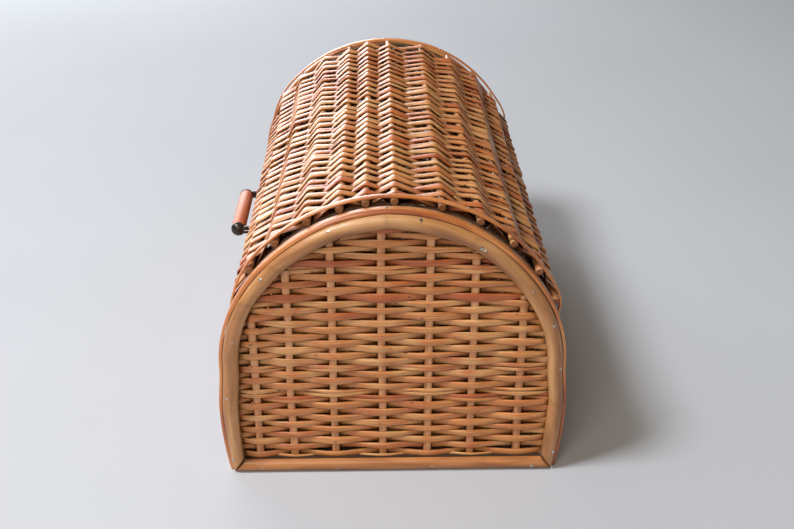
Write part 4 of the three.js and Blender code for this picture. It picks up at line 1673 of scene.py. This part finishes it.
    def band(self, end: End) -> Object:
        """Builds the flat cane over the rod ends.

        Args:
            end: which end of the lid.

        Returns:
            The object.
        """
        chance = random.Random(self.seed + 90 + end.value)
        line = self.shape.profile()
        inner = self.rod_radius + 0.5 * MM
        t, w = self.band_thick, self.band_width
        near, far = self.half_length, self.half_length - w
        section = np.array([
            (inner, far), (inner + 0.7 * t, far), (inner + t, far + 0.12 * w), (inner + t, near - 0.12 * w),
            (inner + 0.7 * t, near), (inner, near),
        ])
        s = np.linspace(4.6 * MM, line.length - 5.3 * MM, 130)
        wave = flow(chance, 4)(s) * 0.12 * MM
        offset = section[:, 0][None, :] + wave[:, None]
        flat = line.beside(np.repeat(s[:, None], len(section), axis=1), offset)
        rings = in_space(end.value * section[:, 1], flat)
        name, across = f"lid_cane_{end.word}", (section[:, 1] - near)[None, :]
        return swept(name, rings, s, across, chance.random(), turned_over=end.value < 0)

    def build(self) -> None:
        """Builds and hands over the whole lid."""
        hand_over(self.weave(), Body.LID, self.finishes.lid_willow, ["lid_weave"])
        self.rods()
        for end in End:
            hand_over(self.band(end), Body.LID, self.finishes.rim_cane, [f"lid_band_{end.word}"])
            dress_node(f"lid_hoop_{end.word}", self.finishes.lid_hoop)


@dataclass
class LowerBody:
    """The fixed lower half: one sheet of weave up the front, under the base and up the back."""

    finishes: Finishes
    rows: int = 60
    half_length: float = 197.6 * MM
    rod_half: float = 198.2 * MM
    rail_gap: float = 1.15 * MM
    uneven: float = 0.12
    reach: float = 4.25 * MM
    wall_rods: int = 3
    base_rods: int = 7
    rod_radius: float = 2.9 * MM
    rails: tuple[str, ...] = (
        "front_top_rail", "front_bottom_rail", "back_bottom_rail", "back_top_rail",
    )
    variety: Variety = Variety((0.88, 0.98), (0.78, 0.86), (2.0, 2.4))
    seed: int = 61

    def rail(self, name: str) -> tuple[float, float, float]:
        """The place, height and radius of a rail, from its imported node."""
        low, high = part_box(name)
        return (low.y + high.y) / 2, (low.z + high.z) / 2, (high.z - low.z) / 2

    def wall_line(self, name: str) -> Callable[[float], float]:
        """Where the middle of a wall's weave stands at a height.

        Args:
            name: front or back.

        Returns:
            A function from height to Y, in metres.
        """
        vertices = np.array([v.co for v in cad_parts[f"{name}_wall_weave"].data.vertices])
        levels = np.unique(np.round(vertices[:, 2], 5))
        middles = [vertices[np.abs(vertices[:, 2] - z) < 2e-5, 1] for z in levels]
        places = [(m.min() + m.max()) / 2 for m in middles]

        def place(height: float) -> float:
            """The Y at a height."""
            return float(np.interp(height, levels, places))

        return place

    def stations(self) -> list[tuple[float, float, float]]:
        """The rails and rods, from the front top round to the back top.

        Returns:
            The place, height and radius of each, in metres.
        """
        rails = [self.rail(name) for name in self.rails]
        legs = (
            (self.wall_rods, self.wall_line("front")), (self.base_rods, None),
            (self.wall_rods, self.wall_line("back")),
        )
        found = []
        for (count, line), start, stop in zip(legs, rails, rails[1:]):
            found.append(start)
            for share in np.linspace(0, 1, count + 2)[1:-1]:
                if line:
                    height = start[1] + (stop[1] - start[1]) * share
                    found.append((line(height), height, self.rod_radius))
                else:
                    found.append((start[0] + (stop[0] - start[0]) * share, start[1], self.rod_radius))
        return [*found, rails[-1]]

    def weave(self) -> Object:
        """Builds the strands that run down the front, under the base and up the back.

        Returns:
            One object of all strands.
        """
        chance = random.Random(self.seed)
        pile = MeshPile()
        lacing = Lacing(trim=3.4 * MM, between=(0.5,))
        stations = self.stations()
        line = Profile(np.array([(y, z) for y, z, _ in stations]))
        # The line runs down the front first, so its left side faces into the box.
        normals = -line.outward(line.reach)
        rows = uneven_rows(chance, -self.half_length, self.half_length, self.rows, self.uneven)
        tone = 0.5
        for number, (middle, width) in enumerate(rows):
            # Neighbouring strands come from one bundle and are alike in colour.
            tone = min(max(tone * 0.3 + 0.7 * chance.random(), 0.02), 0.98)
            anchors = []
            for j, ((y, z, radius), normal) in enumerate(zip(stations, normals)):
                out = 1 if (number + j) % 2 == 0 else -1
                away = self.reach if radius == self.rod_radius else radius + self.rail_gap
                anchors.append(np.array([y, z]) + normal * out * (away + chance.uniform(0, 0.2) * MM))
            path, crest = lacing.path(np.array(anchors))
            reach = distances(path)
            sway = flow(chance, 3)(reach) * 0.5 * MM
            weaver = self.variety.pick(chance, width, SPLIT_SECTION)
            rings, along, across = weaver.rings(
                in_space(middle + sway, path), in_space(0.0, directions(path)[:, ::-1] * (1, -1)), SIDEWAYS,
                crest, flow(chance, 2)(reach) * 0.08,
            )
            pile.add_rings(rings, along + chance.uniform(0, 3), across, tone)
        return pile.piece("body_willow")

    def build(self) -> None:
        """Builds and hands over the sheet of weave, its rods and its rails."""
        hand_over(
            self.weave(), Body.BASKET, self.finishes.willow,
            ["front_wall_weave", "base_weave", "back_wall_weave"],
        )
        spots = np.cumsum([0, self.wall_rods + 1, self.base_rods + 1, self.wall_rods + 1])
        names = dict(zip(spots.tolist(), self.rails))
        for number, (y, z, radius) in enumerate(self.stations()):
            name = names.get(number)
            rod = Rod(
                f"{name}_rod" if name else f"body_rod_{number}", radius, -self.rod_half, self.rod_half,
                lambda x, m=(y, z): m, seed=self.seed + number, sides=20 if name else 14, wander=0.05 * MM,
            )
            hand_over(rod.build(), Body.BASKET, self.finishes.rod, [name] if name else ())


@dataclass
class Handle:
    """The grip at the lid's front: a stained wooden bar between two black lacquered feet."""

    finishes: Finishes
    rounding: float = 1.6 * MM
    short: float = 0.55
    straight: float = 0.12
    arm_in: float = 2.4 * MM
    arm_wide: float = 3.6 * MM
    arm_high: float = 6.4 * MM

    def grip(self) -> Object:
        """Turns the wooden bar.

        Returns:
            The object, its ends rounded over.
        """
        low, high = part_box("handle_grip")
        deselect()
        bpy.ops.mesh.primitive_cylinder_add(
            vertices=40, radius=(high.z - low.z) / 2, depth=high.x - low.x, location=(low + high) / 2,
            rotation=ALONG_X,
        )
        bar = bpy.context.object
        round_edges(bar, "rounded_ends", self.rounding, 4)
        return settle(bar, "grip_bar")

    def dome(self, cap: Object, inner: float, outer: float, axis: Vector) -> None:
        """Rounds a cylinder's outer end to a dome by extruding it in steps and drawing each ring in.

        Args:
            cap: the cylinder, along X.
            inner: the X of its flat end.
            outer: the X where the dome ends.
            axis: a point on its middle line.
        """
        activate(cap)
        bpy.ops.object.mode_set(mode="EDIT")
        bpy.ops.mesh.select_mode(type="FACE")
        bpy.ops.mesh.select_all(action="DESELECT")
        edit = bmesh.from_edit_mesh(cap.data)
        for face in edit.faces:
            face.select_set(abs(face.calc_center_median().x - outer) < 0.01 * MM)
        bmesh.update_edit_mesh(cap.data)
        length, size = outer - inner, 1.0
        share = self.straight
        bpy.ops.transform.translate(value=(share * length - length, 0, 0))
        for step in (0.30, 0.48, 0.64, 0.78, 0.89, 0.96, 1.0):
            wanted = math.sqrt(max(1 - ((step - self.straight) / 0.9) ** 2, 0.02))
            centre = (inner + step * length, axis.y, axis.z)
            bpy.ops.mesh.extrude_region_move(
                TRANSFORM_OT_translate={"value": ((step - share) * length, 0, 0)}
            )
            bpy.ops.transform.resize(value=(1, wanted / size, wanted / size), center_override=centre)
            share, size = step, wanted
        bpy.ops.object.mode_set(mode="OBJECT")

    def foot(self, end: End) -> Object:
        """Makes one foot: a rounded cap on the bar's end and an arm back to the lid.

        Args:
            end: which end of the bar.

        Returns:
            The object.
        """
        low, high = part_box(f"handle_foot_{end.word}")
        grip_low, grip_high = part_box("handle_grip")
        inner, outer = low.x, high.x
        if end is End.LEFT:
            inner, outer = high.x, low.x + self.short * (high.x - low.x)
        axis = Vector(((inner + outer) / 2, (grip_low.y + grip_high.y) / 2, (low.z + high.z) / 2))
        deselect()
        bpy.ops.mesh.primitive_cylinder_add(
            vertices=40, radius=(grip_high.z - grip_low.z) / 2 + 0.15 * MM, depth=abs(outer - inner),
            location=axis, rotation=ALONG_X,
        )
        cap = bpy.context.object
        apply_place()
        self.dome(cap, inner, outer, axis)
        arm_x = inner + end.value * self.arm_in
        bpy.ops.mesh.primitive_cube_add(size=1, location=(arm_x, (axis.y + high.y) / 2, (low.z + high.z) / 2))
        arm = bpy.context.object
        arm.scale = (self.arm_wide, high.y - axis.y, self.arm_high)
        apply_place()
        round_edges(arm, "soft_edges", 1.1 * MM, 3)
        activate(cap)
        union = cap.modifiers.new("one_foot", "BOOLEAN")
        union.operation = "UNION"
        union.object = arm
        bpy.ops.object.modifier_apply(modifier=union.name)
        bpy.data.objects.remove(arm)
        return settle(cap, f"grip_foot_{end.word}")

    def build(self) -> None:
        """Builds and hands over the bar and its feet, and dresses the screws."""
        hand_over(self.grip(), Body.LID, self.finishes.grip, ["handle_grip"])
        for end in End:
            node = f"handle_foot_{end.word}"
            hand_over(self.foot(end), Body.LID, self.finishes.foot, [node])
            dress_node(f"handle_screw_{end.word}", self.finishes.steel)


@dataclass
class Fasteners:
    """Small steel nails and wire staples that hold the canes to the hoops."""

    finishes: Finishes
    head_radius: float = 1.3 * MM
    head_thick: float = 0.5 * MM
    wire_radius: float = 0.36 * MM
    face_places: tuple[tuple[float, float], ...] = (
        (-115.8, 116.7), (-122.9, 68.3), (-122.3, 12.3), (-44.3, 204.6), (-92.8, 167.9), (19.2, 212.4),
        (64.9, 196.0), (67.6, 194.2), (104.3, 160.3), (115.6, 128.3), (123.2, 90.8), (122.2, 16.4),
    )
    sill_places: tuple[tuple[float, float], ...] = ((-100.6, 4.4), (-42.5, 3.6), (29.0, 4.5), (106.2, 3.4))
    rim_heights: tuple[float, ...] = (27.0, 57.0, 85.0)
    rim_angles: tuple[float, ...] = (92.0, 64.0, 118.0)
    lid_angles: tuple[float, ...] = (40.0, 43.5, 66.0, 91.5, 117.0, 139.0)
    face_far: float = 0.24
    rim_x: float = 208.4 * MM
    rim_x_above: float = 208.0 * MM
    lid_x: float = 195.2 * MM
    rim_centre: float = 94 * MM
    lid_centre: float = 90.5 * MM
    hooked: float = 0.4
    seed: int = 90

    def nail(self) -> Object:
        """Models one nail head with a slightly domed top, on the Z axis.

        Returns:
            The pattern that is copied.
        """
        deselect()
        bpy.ops.mesh.primitive_cylinder_add(vertices=14, radius=self.head_radius, depth=self.head_thick)
        round_edges(bpy.context.object, "worn_edge", 0.3 * self.head_thick, 2)
        return bpy.context.object

    def hook(self) -> Object:
        """Models one wire end bent over and hammered flat, lying along X.

        Returns:
            The pattern that is copied.
        """
        deselect()
        bpy.ops.mesh.primitive_cylinder_add(
            vertices=8, radius=self.wire_radius, depth=3.0 * MM, rotation=ALONG_X
        )
        wire = bpy.context.object
        apply_place()
        wire.scale = (1.0, 1.25, 0.75)
        apply_place()
        round_edges(wire, "blunt_ends", 0.12 * MM, 2)
        return wire

    def drive(
        self, pattern: Object, place: Vector, normal: Vector, sunk: float, turn: float, tilt: float
    ) -> Object:
        """Copies a nail or a hook onto a surface.

        Args:
            pattern: what is copied, with its own mesh.
            place: the point on the surface.
            normal: the surface's direction there.
            sunk: how far its middle lies off the surface, in metres.
            turn: how far it is turned on the normal, in radians.
            tilt: how far it leans, in radians.

        Returns:
            The copy, in its place.
        """
        copy = bpy.data.objects.new(pattern.name, pattern.data.copy())
        bpy.context.scene.collection.objects.link(copy)
        facing = normal.to_track_quat("Z", "Y").to_matrix().to_4x4()
        lean = Matrix.Rotation(turn, 4, "Z") @ Matrix.Rotation(tilt, 4, "X")
        copy.data.transform(Matrix.Translation(place + normal * sunk) @ facing @ lean)
        return copy

    def touch(self, piece: str, start: Vector, aim: Vector) -> tuple[Vector, Vector] | None:
        """Finds where a line from outside first meets a piece.

        Args:
            piece: the piece's name.
            start: where the line starts.
            aim: the direction it goes.

        Returns:
            The point and the surface's direction there, or nothing.
        """
        found, place, normal, _ = bpy.data.objects[piece].ray_cast(start, aim)
        return (place, normal) if found else None

    def over(self, piece: str, x: float, height: float, degrees: float) -> tuple[Vector, Vector] | None:
        """Finds the point of an arched piece at an angle above its middle line.

        Args:
            piece: the piece's name.
            x: where along the box, in metres.
            height: the height that the angle is taken from, in metres.
            degrees: the angle, from the back.

        Returns:
            The point and the surface's direction there, or nothing.
        """
        out = Vector((0, math.cos(math.radians(degrees)), math.sin(math.radians(degrees))))
        return self.touch(piece, Vector((x, SHIFT, height)) + out * FAR, -out)

    def gather(self, pieces: list[Object], name: str, body: Body) -> None:
        """Joins nails into one piece and hands it over.

        Args:
            pieces: the nails.
            name: the piece's name.
            body: the body that it moves with.
        """
        deselect()
        for piece in pieces:
            piece.select_set(True)
        bpy.context.view_layer.objects.active = pieces[0]
        bpy.ops.object.join()
        hand_over(settle(bpy.context.object, name, 40.0), body, self.finishes.steel)

    def nail_face(
        self, end: End, chance: random.Random, nail: Object, hook: Object
    ) -> list[Object]:
        """Nails the canes on the face of one end frame.

        Args:
            end: which end.
            chance: the seeded source of what is driven and how it is turned.
            nail: the nail that is copied.
            hook: the bent wire that is copied.

        Returns:
            The nails.
        """
        inward = Vector((-end.value, 0, 0))
        targets = [(f"face_cane_{end.word}", y, z) for y, z in self.face_places]
        targets += [(f"face_sill_cane_{end.word}", y, z) for y, z in self.sill_places]
        made = []
        for name, y, z in targets:
            start = Vector((end.value * self.face_far, y * MM + SHIFT, z * MM))
            hit = self.touch(name, start, inward)
            if hit is None:
                # It missed the cane, so it is tried a little nearer the frame's middle.
                pull = (Vector((0, SHIFT, 100 * MM)) - start) * 0.05
                hit = self.touch(name, start + Vector((0, pull.y, pull.z)), inward)
            if hit is None:
                continue
            pattern, sunk = (hook, 0.15 * MM) if chance.random() < self.hooked else (nail, 0.12 * MM)
            made.append(self.drive(pattern, *hit, sunk, chance.uniform(0, 6.28), chance.uniform(-0.18, 0.18)))
        return made

    def build_end(self, end: End, nail: Object, hook: Object) -> None:
        """Nails the canes of one end frame and staples the lid's cane there.

        Args:
            end: which end.
            nail: the nail that is copied.
            hook: the bent wire that is copied.
        """
        chance = random.Random(self.seed + end.value)
        rim, lid_cane = f"rim_cane_{end.word}", f"lid_cane_{end.word}"
        made = self.nail_face(end, chance, nail, hook)
        for facing in (-1, 1):
            for height in self.rim_heights:
                start = Vector((
                    end.value * self.rim_x, SHIFT + facing * FAR, (height + chance.uniform(-6, 6)) * MM,
                ))
                hit = self.touch(rim, start, Vector((0, -facing, 0)))
                if hit:
                    made.append(self.drive(nail, *hit, 0.1 * MM, 0.0, chance.uniform(-0.2, 0.2)))
        for degrees in self.rim_angles:
            hit = self.over(rim, end.value * self.rim_x_above, self.rim_centre, degrees)
            if hit:
                made.append(self.drive(hook, *hit, 0.2 * MM, chance.uniform(-0.5, 0.5), 0.0))
        self.gather(made, f"frame_nails_{end.word}", Body.BASKET)
        stapled = []
        for degrees in self.lid_angles:
            hit = self.over(lid_cane, end.value * self.lid_x, self.lid_centre, degrees)
            if hit:
                stapled.append(self.drive(hook, *hit, 0.15 * MM, chance.uniform(-0.3, 0.3), 0.0))
        self.gather(stapled, f"lid_staples_{end.word}", Body.LID)

    def build(self) -> None:
        """Drives every nail and staple."""
        nail, hook = self.nail(), self.hook()
        for end in End:
            self.build_end(end, nail, hook)
        for pattern in (nail, hook):
            bpy.data.objects.remove(pattern)


# Studio


@dataclass
class Studio:
    """A pale floor, a soft window-like light from the left and a camera at the photograph's place."""

    lens: float = 49.874
    camera_place: tuple[float, float, float] = (0.8959, -0.0064, 0.5311)
    heading: tuple[float, float] = (-0.99983, 0.01865)
    pitch: float = 27.417
    floor_tones: tuple[tuple[float, str], ...] = ((0.3, "#B8BCC1"), (0.7, "#BBBFC4"))
    lit_point: tuple[float, float, float] = (0.0, 0.0, 0.1)

    def camera(self) -> None:
        """Places the camera."""
        data = bpy.data.cameras.new("camera")
        data.lens = self.lens
        data.sensor_width = 36.0
        data.clip_start = 0.01
        data.clip_end = 50.0
        camera = bpy.data.objects.new("camera", data)
        bpy.context.scene.collection.objects.link(camera)
        down = math.radians(self.pitch)
        level = math.cos(down)
        look = Vector((level * self.heading[0], level * self.heading[1], -math.sin(down)))
        camera.location = self.camera_place
        camera.rotation_euler = look.to_track_quat("-Z", "Y").to_euler()
        bpy.context.scene.camera = camera

    def floor(self) -> None:
        """Lays a pale painted floor."""
        deselect()
        bpy.ops.mesh.primitive_plane_add(size=9.0, location=(-1.0, 0, -0.0002))
        floor = settle(bpy.context.object, "floor")
        material, tree, shader = blank_material("pale_floor")
        place = add_node(tree, "TexCoord").outputs["Object"]
        cloud = add_node(tree, "TexNoise", {"Vector": place, "Scale": 3.0, "Detail": 2.0})
        feed(tree, shader, {
            "Base Color": add_node(tree, "ValToRGB", {"Fac": cloud}, stops=self.floor_tones),
            "Roughness": 0.9,
            "Specular IOR Level": 0.15,
        })
        floor.data.materials.append(material)

    def lamp(
        self, name: str, place: Sequence[float], size: tuple[float, float], power: float, colour: str
    ) -> None:
        """Hangs one area lamp that faces the box.

        Args:
            name: the lamp's name.
            place: where it hangs, in metres.
            size: its width and height, in metres.
            power: watts.
            colour: sRGB hex.
        """
        data = bpy.data.lights.new(name, "AREA")
        data.shape = "RECTANGLE"
        data.size, data.size_y = size
        data.energy = power
        data.color = linear(colour)[:3]
        lamp = bpy.data.objects.new(name, data)
        bpy.context.scene.collection.objects.link(lamp)
        lamp.location = place
        direction = Vector(self.lit_point) - Vector(place)
        lamp.rotation_euler = direction.to_track_quat("-Z", "Y").to_euler()

    def world(self) -> None:
        """Fills the room with an even pale light."""
        world = bpy.data.worlds.new("pale_room")
        bpy.context.scene.world = world
        world.use_nodes = True
        tree = world.node_tree
        tree.nodes.clear()
        light = add_node(tree, "Background", {"Color": "#F6E6D2", "Strength": 0.18})
        add_node(tree, "OutputWorld", {"Surface": light})

    def build(self) -> None:
        """Builds the whole studio."""
        bpy.context.scene.view_settings.view_transform = "Standard"
        self.camera()
        self.floor()
        self.world()
        self.lamp("high_window", (0.55, -1.15, 1.95), (0.55, 0.55), 50.0, "#F8FAFF")
        self.lamp("far_window", (-2.4, -1.1, 0.85), (2.2, 1.4), 64.0, "#F8FAFF")
        self.lamp("room", (1.9, -0.5, 1.5), (1.2, 1.2), 22.0, "#FFF0E0")


def main() -> None:
    """Builds the studio and every sub-assembly in order."""
    logging.basicConfig(level=logging.INFO, format="%(name)s %(message)s")
    Studio().build()
    finishes = Finishes()
    for end in End:
        EndPanel(end, finishes).build()
        EndFrame(end, finishes).build()
    LidShell(finishes).build()
    LowerBody(finishes).build()
    Handle(finishes).build()
    Fasteners(finishes).build()


if __name__ == "__main__":
    main()
